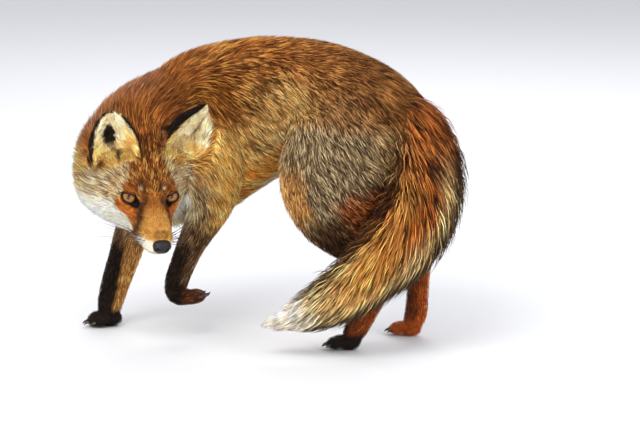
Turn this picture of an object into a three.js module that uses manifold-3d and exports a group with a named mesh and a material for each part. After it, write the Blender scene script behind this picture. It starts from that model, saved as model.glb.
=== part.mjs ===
// A life-size red fox in its winter coat, still, walking in a tight turn to its left: the back is
// arched, the lowered head and the brush both swing round to the left side, and the left forepaw is
// lifted. It stands on the right forepaw and both hind paws.
//
// Units are millimetres and degrees. +X runs from the head end to the rump, +Y to the fox's right
// side, +Z up. The surfaces are those of the coat's outer tips. Every long piece is a closed tube of
// egg-shaped rings along a curve; the tubes are joined to one body, and thin cuts part it into the
// pieces that have names.
import * as THREE from "three";
import Module from "manifold-3d";
import { mergeVertices } from "three/addons/utils/BufferGeometryUtils.js";

const wasm = await Module();
wasm.setup();

// ---------------------------------------------------------------- driving dimensions

const GAP = 0.35; // width of every cut between two pieces
const SHARE = 22; // how far outside its own tube a leg takes the body's flank with it
const FLOOR = 0; // the paws' soles are trimmed flat at this level

// Headings, in degrees away from straight ahead (-X), positive towards the fox's right (+Y).
const PELVIS_HEADING = 25;
const HEAD_YAW = 18.5; // from facing straight to the left (-Y), towards the rump
const HEAD_PITCH = 29; // muzzle below the horizontal
const HEAD_ROLL = -2.5;
const BETWEEN_EYES = [-234, -125, 226]; // origin of the head's own frame

const NAPE = -82; // the head ends this far behind the eyes

const EYE_RADIUS = 10;
const EYE = { ahead: -2.1, side: 30.3, above: -2.3 };
const NOSE = { ahead: 79, above: -26, halfWidth: 12.5, halfHeight: 9.5, halfDepth: 8 };

const EAR_WALL = 5;

const FOREPAW = { length: 56, width: 42, height: 25 };
const HINDPAW = { length: 52, width: 37, height: 23 };

// ---------------------------------------------------------------- stations of the tubes
// Each station is a centre [x, y, z] and the ring's half sizes [across, out, in]. "Out" is along the
// tube's own reference direction and "in" is against it, so a ring can be egg-shaped.

const TRUNK = [
  { at: [162, -64, 284], ring: [12, 14, 14] }, // rump's end
  { at: [149, -60, 290], ring: [37, 32, 34] },
  { at: [123, -52, 303], ring: [57, 55, 56] },
  { at: [78, -36, 319], ring: [68, 78, 72] }, // pelvis
  { at: [18, -6, 331], ring: [70, 91, 78] }, // loin
  { at: [-45, 22, 329], ring: [75, 101, 94] },
  { at: [-104, 38, 315], ring: [83, 110, 108] }, // ribs
  { at: [-160, 40, 296], ring: [86, 113, 122] }, // shoulders
  { at: [-208, 26, 272], ring: [83, 99, 127] }, // chest
  { at: [-246, 2, 252], ring: [67, 74, 106] },
  { at: [-270, -18, 236], ring: [32, 36, 50] }, // breast
];

const NECK = [
  { at: [-168, 34, 302], ring: [66, 72, 70] },
  { at: [-212, 16, 290], ring: [88, 96, 92] },
  { at: [-244, -14, 275], ring: [91, 94, 90] },
  { at: [-264, -48, 262], ring: [89, 77, 86] }, // nape and ruff
  { at: [-269, -78, 252], ring: [78, 52, 70] },
];

const TAIL = [
  { at: [104, -40, 342], ring: [20, 20, 20] }, // root
  { at: [131, -62, 325], ring: [33, 30, 30] },
  { at: [145, -88, 288], ring: [44, 42, 42] },
  { at: [147, -112, 243], ring: [50, 47, 47] },
  { at: [133, -132, 198], ring: [53, 50, 49] },
  { at: [104, -147, 157], ring: [50, 46, 45] },
  { at: [62, -152, 119], ring: [43, 40, 38] },
  { at: [21, -150, 88], ring: [37, 34, 32] },
  { at: [-20, -146, 66], ring: [27, 25, 23] },
  { at: [-48, -143, 55], ring: [15, 14, 13] },
  { at: [-68, -140, 49], ring: [3, 3, 3] }, // tip
];

// The left hind leg slants forward under the brush; the right one stands upright behind it.
const HIND_LEFT = {
  out: [-0.42, -0.91, 0],
  knee: { at: [28, -88, 190], towards: [0.25, 0, -1] },
  hock: { at: [93, -85, 119], towards: [0.15, 0, -1] },
  upper: [
    { at: [37, -66, 336], ring: [42, 22, 24] },
    { at: [34, -70, 300], ring: [84, 44, 44] },
    { at: [25, -76, 262], ring: [90, 45, 42] },
    { at: [17, -84, 228], ring: [82, 40, 38] },
    { at: [27, -89, 195], ring: [70, 34, 33] },
    { at: [46, -89, 163], ring: [48, 27, 25] },
    { at: [74, -87, 136], ring: [27, 20, 20] },
    { at: [95, -85, 117], ring: [20, 16, 16] },
    { at: [104, -85, 106], ring: [9, 8, 8] },
  ],
  lower: [
    { at: [88, -85, 134], ring: [12, 10, 10] },
    { at: [93, -85, 119], ring: [21, 16, 16] },
    { at: [85, -86, 96], ring: [19, 15, 15] },
    { at: [71, -87, 66], ring: [18.5, 14.5, 14.5] },
    { at: [55, -89, 38], ring: [18.5, 15, 15] },
    { at: [45, -90, 18], ring: [16, 15, 15] },
  ],
  paw: { at: [33, -90], heading: 8 },
};

const HIND_RIGHT = {
  out: [0.42, 0.91, 0],
  knee: { at: [84, 34, 188], towards: [0.35, -0.2, -1] },
  hock: { at: [144, -6, 118], towards: [0, 0, -1] },
  upper: [
    { at: [76, 20, 334], ring: [40, 22, 24] },
    { at: [84, 22, 298], ring: [76, 44, 44] },
    { at: [78, 30, 260], ring: [80, 44, 42] },
    { at: [74, 36, 226], ring: [71, 39, 38] },
    { at: [82, 34, 194], ring: [56, 33, 33] },
    { at: [102, 22, 162], ring: [39, 26, 25] },
    { at: [128, 6, 135], ring: [26, 20, 20] },
    { at: [146, -5, 116], ring: [20, 16, 16] },
    { at: [154, -9, 104], ring: [9, 8, 8] },
  ],
  lower: [
    { at: [140, -4, 134], ring: [12, 10, 10] },
    { at: [144, -6, 118], ring: [20, 16, 16] },
    { at: [141, -6, 94], ring: [18, 14.5, 14.5] },
    { at: [139, -7, 64], ring: [17.5, 14.5, 14.5] },
    { at: [137, -6, 36], ring: [17.5, 15, 15] },
    { at: [133, -5, 18], ring: [16, 15, 15] },
  ],
  paw: { at: [122, 0], heading: 22 },
};

const FORE_LEFT = {
  out: [0, -1, 0],
  knee: { at: [-158, -29, 190], towards: [-0.5, 0, -1] },
  upper: [
    { at: [-168, -24, 348], ring: [22, 16, 18] },
    { at: [-168, -28, 318], ring: [44, 30, 30] },
    { at: [-166, -30, 278], ring: [56, 34, 34] },
    { at: [-157, -31, 232], ring: [50, 33, 32] },
    { at: [-155, -30, 198], ring: [35, 27, 27] },
    { at: [-165, -29, 170], ring: [26, 22, 22] },
    { at: [-180, -28, 142], ring: [21.5, 19, 19] },
    { at: [-194, -26, 110], ring: [19, 17, 17] },
    { at: [-204, -24, 82], ring: [17.5, 15.5, 15.5] },
    { at: [-207, -23, 66], ring: [16, 14, 14] },
    { at: [-206, -23, 54], ring: [7, 7, 7] },
  ],
  // The lifted paw hangs back from the bent wrist, its pads turned up.
  liftedPaw: { at: [-188, -21, 73], turn: 184, tip: -181 },
};

const FORE_RIGHT = {
  out: [0, 1, 0],
  knee: { at: [-252, 76, 186], towards: [-0.4, 0, -1] },
  upper: [
    { at: [-216, 58, 336], ring: [22, 16, 18] },
    { at: [-230, 66, 304], ring: [44, 28, 30] },
    { at: [-240, 72, 262], ring: [54, 32, 34] },
    { at: [-244, 76, 216], ring: [48, 30, 31] },
    { at: [-250, 77, 186], ring: [37, 26, 26] },
    { at: [-262, 75, 158], ring: [28, 22, 22] },
    { at: [-273, 74, 130], ring: [26, 21, 21] },
    { at: [-283, 71, 98], ring: [24, 19, 19] },
    { at: [-294, 67, 66], ring: [22, 17.5, 17.5] },
    { at: [-302, 64, 38], ring: [20, 17, 17] },
    { at: [-306, 62, 18], ring: [17, 16, 16] },
  ],
  paw: { at: [-311, 59], heading: -18 },
};

// The head's rings lie across its own forward axis. Each is [ahead, half width, top, bottom, widest
// level, shift], with heights above and below the line between the eyes. The neck bends to the left,
// so the ruff fans out on the right side: shift is how far a ring's middle lies to the right.
const HEAD = [
  [79, 10, -20, -36, -28, 0],
  [75, 16, -15, -43, -30, 0],
  [66, 19.5, -10, -49, -31, 0],
  [52, 22.5, -5, -54, -32, 0],
  [36, 27, -0.5, -59, -33, 0],
  [22, 31, 4.5, -64, -31, 0],
  [11, 36, 10, -69, -27, 0],
  [1, 43.5, 17.5, -75, -21, 0.5],
  [-10, 52.5, 25, -82, -20, 1.5],
  [-24, 65, 32.5, -89, -24, 3],
  [-40, 78, 38, -94, -29, 4.5],
  [-57, 87, 41, -96, -32, 5],
  [-74, 87, 40, -95, -30, 5],
  [-90, 77, 33, -86, -24, 5],
  [-104, 56, 22, -68, -18, 3],
  [-114, 26, 8, -40, -16, 0],
];

// The right ear faces the way the muzzle does; the left one is turned out and back.
const EARS = {
  right: { side: -1, foot: [-49, 41.5, 21], lean: 14, back: 4, open: 8, length: 88, halfWidth: 45, cup: 22 },
  left: { side: 1, foot: [-57, 42, 29], lean: 44, back: 23, open: 19, length: 83, halfWidth: 45, cup: 17 },
};

// ---------------------------------------------------------------- materials

const coat = (color) => new THREE.MeshStandardMaterial({ color, roughness: 0.9, metalness: 0 });
const RUSSET = coat(0xa9602c);
const GRIZZLED = coat(0x84705a);
const BLACK_STOCKING = coat(0x2b1c14);
const WHITE_AND_RUST = coat(0xc79a68);
const EAR_BLACK = coat(0x1f1713);
const BRUSH = coat(0xb4844a);
const AMBER_EYE = new THREE.MeshStandardMaterial({ color: 0x8a4f12, roughness: 0.1, metalness: 0 });
const NOSE_LEATHER = new THREE.MeshStandardMaterial({ color: 0x151212, roughness: 0.45, metalness: 0 });

// ---------------------------------------------------------------- closed surfaces and solids

// Joins a stack of rings, each with the same number of points, and closes both ends with a fan.
function closeRings(rings) {
  const count = rings[0].length;
  const points = rings.flat();
  const faces = [];
  for (let i = 0; i + 1 < rings.length; i++) {
    for (let j = 0; j < count; j++) {
      const [a, b] = [i * count + j, i * count + ((j + 1) % count)];
      faces.push(a, b, b + count, a, b + count, a + count);
    }
  }
  const last = (rings.length - 1) * count;
  for (const [start, turned] of [[0, true], [last, false]]) {
    const middle = new THREE.Vector3();
    for (let j = 0; j < count; j++) middle.addScaledVector(points[start + j], 1 / count);
    const centre = points.push(middle) - 1;
    for (let j = 0; j < count; j++) {
      const [a, b] = [start + j, start + ((j + 1) % count)];
      faces.push(...(turned ? [b, a, centre] : [a, b, centre]));
    }
  }
  const enclosed = (k) => points[faces[k]].dot(points[faces[k + 1]].clone().cross(points[faces[k + 2]]));
  let volume = 0;
  for (let k = 0; k < faces.length; k += 3) volume += enclosed(k);
  if (volume < 0) faces.reverse(); // the faces must look outwards
  return new THREE.BufferGeometry().setFromPoints(points).setIndex(faces);
}

function toSolid(geometry) {
  const bare = new THREE.BufferGeometry();
  bare.setAttribute("position", geometry.getAttribute("position"));
  if (geometry.index) bare.setIndex(geometry.index);
  const merged = mergeVertices(bare, 1e-4);
  return new wasm.Manifold(
    new wasm.Mesh({
      numProp: 3,
      vertProperties: new Float32Array(merged.attributes.position.array),
      triVerts: new Uint32Array(merged.index.array),
    }),
  );
}

// A tube of egg-shaped rings along a smooth curve through its stations. Each ring faces the way the
// curve goes over a short stretch about it, so that neighbouring rings never cross.
// grow widens every ring, and outMore adds to the side that faces "out".
const LOOK = 0.14;
function tube(stations, { out, rings, sides, grow = 0, outMore = 0 }) {
  const curve = (pick) => new THREE.CatmullRomCurve3(stations.map(pick), false, "centripetal");
  const path = curve((s) => new THREE.Vector3(...s.at));
  const girth = curve((s) => new THREE.Vector3(...s.ring));
  const reference = new THREE.Vector3(...out);
  const stack = [];
  for (let i = 0; i <= rings; i++) {
    const t = i / rings;
    const centre = path.getPoint(t);
    const ahead = path
      .getPoint(Math.min(1, t + LOOK))
      .sub(path.getPoint(Math.max(0, t - LOOK)))
      .normalize();
    centre.addScaledVector(ahead, (i === rings ? grow : 0) - (i === 0 ? grow : 0));
    const outward = reference.clone().addScaledVector(ahead, -reference.dot(ahead)).normalize();
    const across = ahead.clone().cross(outward);
    const size = girth.getPoint(t);
    const ring = [];
    for (let j = 0; j < sides; j++) {
      const angle = (2 * Math.PI * j) / sides;
      const reach = Math.sin(angle) > 0 ? size.y + outMore : size.z;
      ring.push(
        centre
          .clone()
          .addScaledVector(across, -Math.cos(angle) * (size.x + grow))
          .addScaledVector(outward, Math.sin(angle) * (reach + grow)),
      );
    }
    stack.push(ring);
  }
  return toSolid(closeRings(stack));
}

function ellipsoid(centre, halfSizes, turn = 0, across = 10, down = 7) {
  const ball = new THREE.SphereGeometry(1, across, down);
  ball.scale(...halfSizes);
  ball.rotateZ(THREE.MathUtils.degToRad(turn));
  ball.translate(...centre);
  return toSolid(ball);
}

// Everything on the far side of a plane: a large block whose face lies on it.
const BLOCK = 1200;
function beyond(point, towards, gap = 0) {
  const normal = new THREE.Vector3(...towards).normalize();
  const block = new THREE.BoxGeometry(BLOCK, BLOCK, BLOCK);
  block.translate(0, 0, BLOCK / 2 + gap);
  block.applyQuaternion(new THREE.Quaternion().setFromUnitVectors(new THREE.Vector3(0, 0, 1), normal));
  block.translate(...point);
  return toSolid(block);
}

// Cuts a solid in two along a plane, leaving half the gap on each side.
function part(solid, point, towards) {
  const away = towards.map((v) => -v);
  return [
    solid.intersect(beyond(point, away, GAP / 2)),
    solid.intersect(beyond(point, towards, GAP / 2)),
  ];
}

function mesh(name, solid, material) {
  const pieces = solid.decompose().sort((a, b) => b.volume() - a.volume());
  const { vertProperties, triVerts, numProp } = pieces[0].getMesh();
  const position = new THREE.BufferAttribute(new Float32Array(vertProperties), numProp);
  const geometry = new THREE.BufferGeometry().setAttribute("position", position);
  geometry.setIndex(new THREE.BufferAttribute(new Uint32Array(triVerts), 1));
  const made = new THREE.Mesh(geometry, material);
  made.name = name;
  return made;
}

// ---------------------------------------------------------------- head, ears, eyes and nose

const degrees = THREE.MathUtils.degToRad;

// The head's own axes: ahead along the muzzle, left, and up.
function headAxes() {
  const [yaw, pitch, roll] = [HEAD_YAW, HEAD_PITCH, HEAD_ROLL].map(degrees);
  const ahead = new THREE.Vector3(
    Math.sin(yaw) * Math.cos(pitch),
    -Math.cos(yaw) * Math.cos(pitch),
    -Math.sin(pitch),
  );
  const left = new THREE.Vector3(Math.cos(yaw), Math.sin(yaw), 0).applyAxisAngle(ahead, roll);
  const up = ahead.clone().cross(left);
  return { ahead, left, up };
}
const AXES = headAxes();

function inHead(ahead, left, up) {
  return new THREE.Vector3(...BETWEEN_EYES)
    .addScaledVector(AXES.ahead, ahead)
    .addScaledVector(AXES.left, left)
    .addScaledVector(AXES.up, up);
}

// Rounded rings across the head: a superellipse, boxier than an ellipse on the muzzle.
function headSolid(rings, sides, grow = 0) {
  const last = HEAD.length - 1;
  const value = (k) => new THREE.CatmullRomCurve3(
    HEAD.map((s) => new THREE.Vector3(s[0], s[k], s[k + 1])), false, "centripetal");
  const [widthAndTop, bottomAndWidest, widestAndShift] = [value(1), value(3), value(4)];
  const stack = [];
  for (let i = 0; i <= rings; i++) {
    const t = i / rings;
    const [ahead, halfWidth, top] = widthAndTop.getPoint(t).toArray();
    const [, bottom, widest] = bottomAndWidest.getPoint(t).toArray();
    const shift = widestAndShift.getPoint(t).z;
    const boxy = 0.86 + 0.12 * Math.min(1, (t * last) / 7);
    const ring = [];
    for (let j = 0; j < sides; j++) {
      const angle = (2 * Math.PI * j) / sides;
      const [c, s] = [Math.cos(angle), Math.sin(angle)];
      const side = Math.sign(c) * Math.abs(c) ** boxy * (halfWidth + grow);
      const reach = s > 0 ? top + grow - widest : widest - bottom + grow;
      ring.push(inHead(ahead, side - shift, widest + Math.sign(s) * Math.abs(s) ** boxy * reach));
    }
    stack.push(ring);
  }
  return toSolid(closeRings(stack));
}

// An ear is a stack of crescents: an outer arc, and back along an inner arc that leaves the wall.
// lean tips the ear outwards, back tips it rearwards, and open turns its mouth outwards.
// room is the clearance to leave about the ear: with it the cup is filled and the whole is larger.
function earSolid(ear, room = 0, levels = 7, arcSteps = 6) {
  const { side, foot, lean, back, open } = ear;
  const [leanBy, backBy, openBy] = [lean, back, open].map(degrees);
  const up = new THREE.Vector3(-Math.sin(backBy), side * Math.sin(leanBy), Math.cos(backBy)).normalize();
  const mouth = new THREE.Vector3(Math.cos(openBy), side * Math.sin(openBy), 0);
  mouth.addScaledVector(up, -mouth.dot(up)).normalize();
  const across = up.clone().cross(mouth);
  const stack = [];
  for (let i = 0; i <= levels; i++) {
    const h = i / levels;
    const fromTip = 1 - h;
    const halfWidth = 1.5 + ear.halfWidth * Math.sqrt(fromTip) * (1 - 0.24 * fromTip ** 2) + room;
    const depth = 2 + ear.cup * fromTip ** 0.8 + room;
    const wall = EAR_WALL * (0.55 + 0.45 * fromTip) + 34 * Math.max(0, 0.3 - h);
    const hollow = Math.max(0.05, depth - wall);
    const spread = degrees(96 + 22 * fromTip);
    const rise = h * ear.length + room * (2 * h - 1);
    const arc = (reach, inset, k) => {
      const angle = -spread + (2 * spread * k) / arcSteps;
      const sideways = Math.sin(Math.max(-Math.PI / 2, Math.min(Math.PI / 2, angle)));
      return [sideways * (halfWidth - inset), -Math.cos(angle) * reach];
    };
    const outline = [];
    for (let k = 0; k <= arcSteps; k++) outline.push(arc(depth, 0, k));
    for (let k = arcSteps; k >= 0; k--) {
      const [sideways, forward] = arc(hollow, room ? 0 : Math.min(wall, halfWidth) * 0.5, k);
      outline.push(room ? [sideways, 0.6 * depth] : [sideways, forward]);
    }
    stack.push(
      outline.map(([sideways, forward]) => {
        const local = new THREE.Vector3(foot[0], side * foot[1], foot[2])
          .addScaledVector(up, rise)
          .addScaledVector(across, sideways)
          .addScaledVector(mouth, forward);
        return inHead(local.x, local.y, local.z);
      }),
    );
  }
  return toSolid(closeRings(stack));
}

function headParts() {
  const skull = headSolid(18, 20, 0.5);
  const grown = headSolid(18, 20, 0.5 + GAP);
  const noseAt = inHead(NOSE.ahead, 0, NOSE.above);
  const pad = (grow) => {
    const ball = new THREE.SphereGeometry(1, 10, 6);
    ball.scale(NOSE.halfDepth + grow, NOSE.halfWidth + grow, NOSE.halfHeight + grow);
    ball.applyMatrix4(new THREE.Matrix4().makeBasis(AXES.ahead, AXES.left, AXES.up));
    ball.translate(...noseAt.toArray());
    return toSolid(ball);
  };
  const eyeAt = (side) => inHead(EYE.ahead, side * EYE.side, EYE.above).toArray();
  const eye = (side, grow) => ellipsoid(eyeAt(side), Array(3).fill(EYE_RADIUS + grow), 0, 10, 6);
  let head = skull.subtract(pad(GAP));
  for (const side of [-1, 1]) head = head.subtract(eye(side, GAP));
  return {
    head,
    grown,
    nose: pad(0),
    eye_right: eye(-1, 0),
    eye_left: eye(1, 0),
    ear_right: earSolid(EARS.right).subtract(grown),
    ear_left: earSolid(EARS.left).subtract(grown),
    earRoom: earSolid(EARS.right, GAP).add(earSolid(EARS.left, GAP)),
  };
}

// ---------------------------------------------------------------- paws

// A paw about its own ball: a low pad body, four toes that fan out in front, and a flat sole.
function pawSolid({ length, width, height }) {
  const toeRadius = width / 5.2;
  const middle = [-length * 0.1, 0, height * 0.5];
  let paw = ellipsoid(middle, [length * 0.42, width * 0.42, height * 0.56], 0, 10, 5);
  for (const [place, reach] of [[-1.5, 0.26], [-0.5, 0.36], [0.5, 0.36], [1.5, 0.26]]) {
    const splay = -place * 9;
    const toe = [length * reach, -place * toeRadius * 1.42, height * 0.36];
    paw = paw.add(ellipsoid(toe, [length * 0.26, toeRadius, height * 0.4], splay, 6, 4));
  }
  return paw.intersect(beyond([0, 0, height * 0.03], [0, 0, 1]));
}

function place(solid, matrix) {
  return solid.transform(matrix.elements);
}

function standingPaw(size, { at: [x, y], heading }) {
  const turn = new THREE.Matrix4().makeRotationZ(degrees(180 - heading));
  const drop = new THREE.Matrix4().makeTranslation(x, y, FLOOR - size.height * 0.03);
  return place(pawSolid(size), drop.multiply(turn));
}

function liftedPaw(size, { at, turn, tip }) {
  const matrix = new THREE.Matrix4()
    .makeTranslation(...at)
    .multiply(new THREE.Matrix4().makeRotationZ(degrees(180 - turn)))
    .multiply(new THREE.Matrix4().makeRotationX(degrees(180)))
    .multiply(new THREE.Matrix4().makeRotationY(degrees(tip + 180)));
  return place(pawSolid(size), matrix);
}

// ---------------------------------------------------------------- assembly

const UP = [0, 0, 1];
const LEG_GRID = { rings: 13, sides: 11 };
const above = beyond([0, 0, FLOOR], UP);

function limb(leg, more = {}) {
  return tube(leg.upper, { out: leg.out, ...LEG_GRID, ...more });
}

function assemble() {
  const parts = [];
  const add = (name, solid, material) => parts.push(mesh(name, solid, material));

  const head = headParts();
  const legs = { HIND_LEFT, HIND_RIGHT, FORE_LEFT, FORE_RIGHT };
  const tail = tube(TAIL, { out: [0, -1, 0], rings: 16, sides: 13 });
  const tailGrown = tube(TAIL, { out: [0, -1, 0], rings: 16, sides: 13, grow: GAP });

  // Trunk and neck are one body; the head's back meets the neck at a plane through the nape.
  const nape = inHead(NAPE, 0, 0).toArray();
  const towardsHead = AXES.ahead.toArray();
  const neckTube = tube(NECK, { out: UP, rings: 5, sides: 18 });
  const behindHead = neckTube.intersect(beyond(nape, towardsHead.map((v) => -v), GAP / 2));
  let body = tube(TRUNK, { out: UP, rings: 14, sides: 22 }).add(behindHead);
  const skull = head.head.intersect(beyond(nape, towardsHead, GAP / 2));
  const neighbours = head.grown
    .intersect(beyond(nape, towardsHead, -GAP / 2))
    .add(tailGrown)
    .add(head.earRoom);

  add("head", skull, WHITE_AND_RUST);
  add("nose", head.nose, NOSE_LEATHER);
  for (const side of ["right", "left"]) {
    add(`eye_${side}`, head[`eye_${side}`], AMBER_EYE);
    add(`ear_${side}`, head[`ear_${side}`], EAR_BLACK);
  }

  // Each leg takes its own share of the shoulder or haunch, then is parted at its joints.
  const lifted = liftedPaw(FOREPAW, FORE_LEFT.liftedPaw);
  for (const [key, leg] of Object.entries(legs)) {
    const name = `${key.startsWith("HIND") ? "hind" : "fore"}_leg_${key.endsWith("LEFT") ? "left" : "right"}`;
    const hind = name.startsWith("hind");
    const region = limb(leg, { outMore: SHARE });
    const whole = body.intersect(region).add(limb(leg)).subtract(neighbours);
    body = body.subtract(limb(leg, { outMore: SHARE, grow: GAP }));
    const [upper, lower] = part(whole, leg.knee.at, leg.knee.towards);
    const size = hind ? HINDPAW : FOREPAW;
    const paw = leg.paw ? standingPaw(size, leg.paw) : lifted;
    if (hind) {
      const shank = tube(leg.lower, { out: leg.out, rings: 5, sides: 10 });
      const [shin] = part(lower, leg.hock.at, leg.hock.towards);
      const foot = shank.add(lower).intersect(beyond(leg.hock.at, leg.hock.towards, GAP / 2));
      add(`${name}_thigh`, upper, GRIZZLED);
      add(`${name}_shin`, shin, RUSSET);
      add(`${name}_foot`, foot.add(paw).intersect(above), BLACK_STOCKING);
    } else {
      const wrist = leg.paw ? [leg.paw.at[0] + 16, leg.paw.at[1], 44] : [-203, -24, 86];
      const [forearm, pastern] = part(lower, wrist, leg.paw ? [-0.2, 0, -1] : [-0.5, 0, -1]);
      add(`${name}_upper_arm`, upper, GRIZZLED);
      add(`${name}_forearm`, forearm, BLACK_STOCKING);
      add(`${name}_paw`, pastern.add(paw).intersect(above), BLACK_STOCKING);
    }
  }

  // The brush leaves the rump, and is divided into three lengths.
  body = body.subtract(neighbours);
  const [base, rest] = part(tail, TAIL[4].at, [-0.35, -0.3, -0.9]);
  const [middle, tip] = part(rest, TAIL[7].at, [-0.85, 0.05, -0.45]);
  add("tail_base", base, BRUSH);
  add("tail_middle", middle, BRUSH);
  add("tail_tip", tip, BRUSH);

  // The body itself: neck, chest, belly and rump.
  const [neck, trunk] = part(body, [-222, -8, 282], [0.62, 0.68, 0.3]);
  const [chest, hinder] = part(trunk, [-74, 30, 322], [0.94, -0.3, 0]);
  const [belly, rump] = part(hinder, [44, -20, 326], [0.92, -0.4, 0]);
  add("neck", neck, RUSSET);
  add("chest", chest, RUSSET);
  add("belly", belly, RUSSET);
  add("rump", rump, RUSSET);
  return parts;
}

const fox = new THREE.Group();
fox.add(...assemble());

// The frame's origin is under the middle of the fox, on the floor.
const bounds = new THREE.Box3().setFromObject(fox);
const middle = bounds.getCenter(new THREE.Vector3());
fox.position.set(-middle.x, -middle.y, -bounds.min.z);

export default fox;
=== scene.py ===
import itertools
import math

import bmesh
import bpy
import numpy as np
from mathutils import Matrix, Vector


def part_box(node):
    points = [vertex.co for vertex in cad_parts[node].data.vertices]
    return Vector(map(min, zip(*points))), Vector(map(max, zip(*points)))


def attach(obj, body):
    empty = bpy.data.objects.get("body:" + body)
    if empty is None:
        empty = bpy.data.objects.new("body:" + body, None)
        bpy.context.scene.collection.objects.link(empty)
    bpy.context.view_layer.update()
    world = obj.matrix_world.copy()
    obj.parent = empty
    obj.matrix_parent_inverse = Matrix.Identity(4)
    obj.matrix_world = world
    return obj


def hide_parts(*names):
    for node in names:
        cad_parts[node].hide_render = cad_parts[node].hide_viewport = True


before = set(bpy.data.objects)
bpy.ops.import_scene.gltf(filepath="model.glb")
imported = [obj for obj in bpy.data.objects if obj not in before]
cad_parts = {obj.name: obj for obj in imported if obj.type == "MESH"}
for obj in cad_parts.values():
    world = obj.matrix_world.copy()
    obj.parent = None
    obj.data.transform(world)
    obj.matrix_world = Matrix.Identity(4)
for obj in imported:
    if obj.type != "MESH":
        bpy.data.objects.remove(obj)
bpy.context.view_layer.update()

# A life-size red fox in its winter coat, as a still model: skin, coat, eyes, nose, claws and whiskers.
# Shapes are worked out in millimetres in the fox's own frame: +X from the head end to the rump, +Y to
# its right side, +Z up. new_mesh() moves them into the shared frame, in metres.

MM = 0.001

# ------------------------------------------------------------------ measures of the head's own frame

HEAD_YAW, HEAD_PITCH, HEAD_ROLL = 18.5, 29.0, -2.5
BETWEEN_EYES = np.array([-234.0, -125.0, 226.0])
EYE = {"ahead": -2.1, "side": 30.3, "above": -2.3}
EYE_RADIUS = 9.8


def unit(v):
    """A vector, or each row of an array of vectors, divided by its own length."""
    v = np.asarray(v, float)
    return v / np.maximum(np.linalg.norm(v, axis=-1, keepdims=True), 1e-9)


def turned(v, axis, degrees):
    """v turned about the axis by the right-hand rule (Rodrigues' formula)."""
    a = math.radians(degrees)
    return v * math.cos(a) + np.cross(axis, v) * math.sin(a) + axis * (axis @ v) * (1 - math.cos(a))


def head_axes():
    """Ahead along the muzzle, left and up, from the head's yaw, pitch and roll."""
    yaw, pitch = math.radians(HEAD_YAW), math.radians(HEAD_PITCH)
    ahead = np.array([math.sin(yaw) * math.cos(pitch), -math.cos(yaw) * math.cos(pitch), -math.sin(pitch)])
    left = turned(np.array([math.cos(yaw), math.sin(yaw), 0.0]), ahead, HEAD_ROLL)
    return np.array([ahead, left, np.cross(ahead, left)])


AXES = head_axes()


def in_head(local):
    """Head-local (ahead, left, up) to the fox's frame."""
    return BETWEEN_EYES + np.asarray(local, float) @ AXES


def to_head(points):
    """The fox's frame to head-local (ahead, left, up)."""
    return (np.asarray(points, float) - BETWEEN_EYES) @ AXES.T


def middle_of(node):
    """The middle of a solid's box, in millimetres in the shared frame."""
    low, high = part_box(node)
    return (np.array(low) + np.array(high)) / 2 / MM


# The shared frame's origin, found from where the eyes' solids are.
SHIFT = (middle_of("eye_left") + middle_of("eye_right")) / 2 - in_head([EYE["ahead"], 0, EYE["above"]])

# ------------------------------------------------------------------ stations of the tubes
# Each row: centre x, y, z; the ring's half sizes across, out and in; the coat's depth there.

TRUNK = [
    [162, -64, 284, 12, 14, 14, 5],
    [149, -60, 290, 37, 32, 34, 10],
    [123, -52, 303, 57, 55, 56, 12],
    [78, -36, 319, 68, 78, 72, 12],
    [18, -6, 331, 70, 91, 78, 12],
    [-45, 22, 329, 75, 101, 94, 12],
    [-104, 38, 315, 83, 110, 108, 12],
    [-160, 40, 296, 86, 113, 122, 13],
    [-208, 26, 272, 83, 99, 127, 14],
    [-246, 2, 252, 67, 74, 106, 14],
    [-270, -18, 236, 32, 36, 50, 9],
]
NECK = [
    [-168, 34, 302, 66, 72, 70, 14],
    [-212, 16, 290, 88, 96, 92, 16],
    [-244, -14, 275, 91, 94, 90, 17],
    [-264, -48, 262, 89, 77, 86, 18],
    [-269, -78, 252, 78, 52, 70, 18],
]
TAIL = [
    [104, -40, 342, 20, 20, 20, 5],
    [131, -62, 325, 33, 30, 30, 10],
    [145, -88, 288, 44, 42, 42, 16],
    [147, -112, 243, 50, 47, 47, 20],
    [133, -132, 198, 53, 50, 49, 22],
    [104, -147, 157, 50, 46, 45, 21],
    [62, -152, 119, 43, 40, 38, 18],
    [21, -150, 88, 37, 34, 32, 16],
    [-20, -146, 66, 27, 25, 23, 12],
    [-48, -143, 55, 15, 14, 13, 7],
    [-68, -140, 49, 3, 3, 3, 1],
]
HIND_LEFT = [
    [37, -66, 336, 42, 22, 24, 7],
    [34, -70, 300, 84, 44, 44, 11],
    [25, -76, 262, 90, 45, 42, 11],
    [17, -84, 228, 82, 40, 38, 10],
    [27, -89, 195, 70, 34, 33, 9],
    [46, -89, 163, 48, 27, 25, 7],
    [74, -87, 136, 27, 20, 20, 4.5],
    [95, -85, 117, 20, 16, 16, 3.5],
    [104, -85, 106, 9, 8, 8, 2],
]
HIND_LEFT_FOOT = [
    [88, -85, 134, 12, 10, 10, 2.5],
    [93, -85, 119, 21, 16, 16, 3.5],
    [85, -86, 96, 19, 15, 15, 3.5],
    [71, -87, 66, 18.5, 14.5, 14.5, 3.2],
    [55, -89, 38, 18.5, 15, 15, 3],
    [45, -90, 18, 16, 15, 15, 2.6],
]
HIND_RIGHT = [
    [76, 20, 334, 40, 22, 24, 7],
    [84, 22, 298, 76, 44, 44, 11],
    [78, 30, 260, 80, 44, 42, 11],
    [74, 36, 226, 71, 39, 38, 10],
    [82, 34, 194, 56, 33, 33, 9],
    [102, 22, 162, 39, 26, 25, 7],
    [128, 6, 135, 26, 20, 20, 4.5],
    [146, -5, 116, 20, 16, 16, 3.5],
    [154, -9, 104, 9, 8, 8, 2],
]
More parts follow.
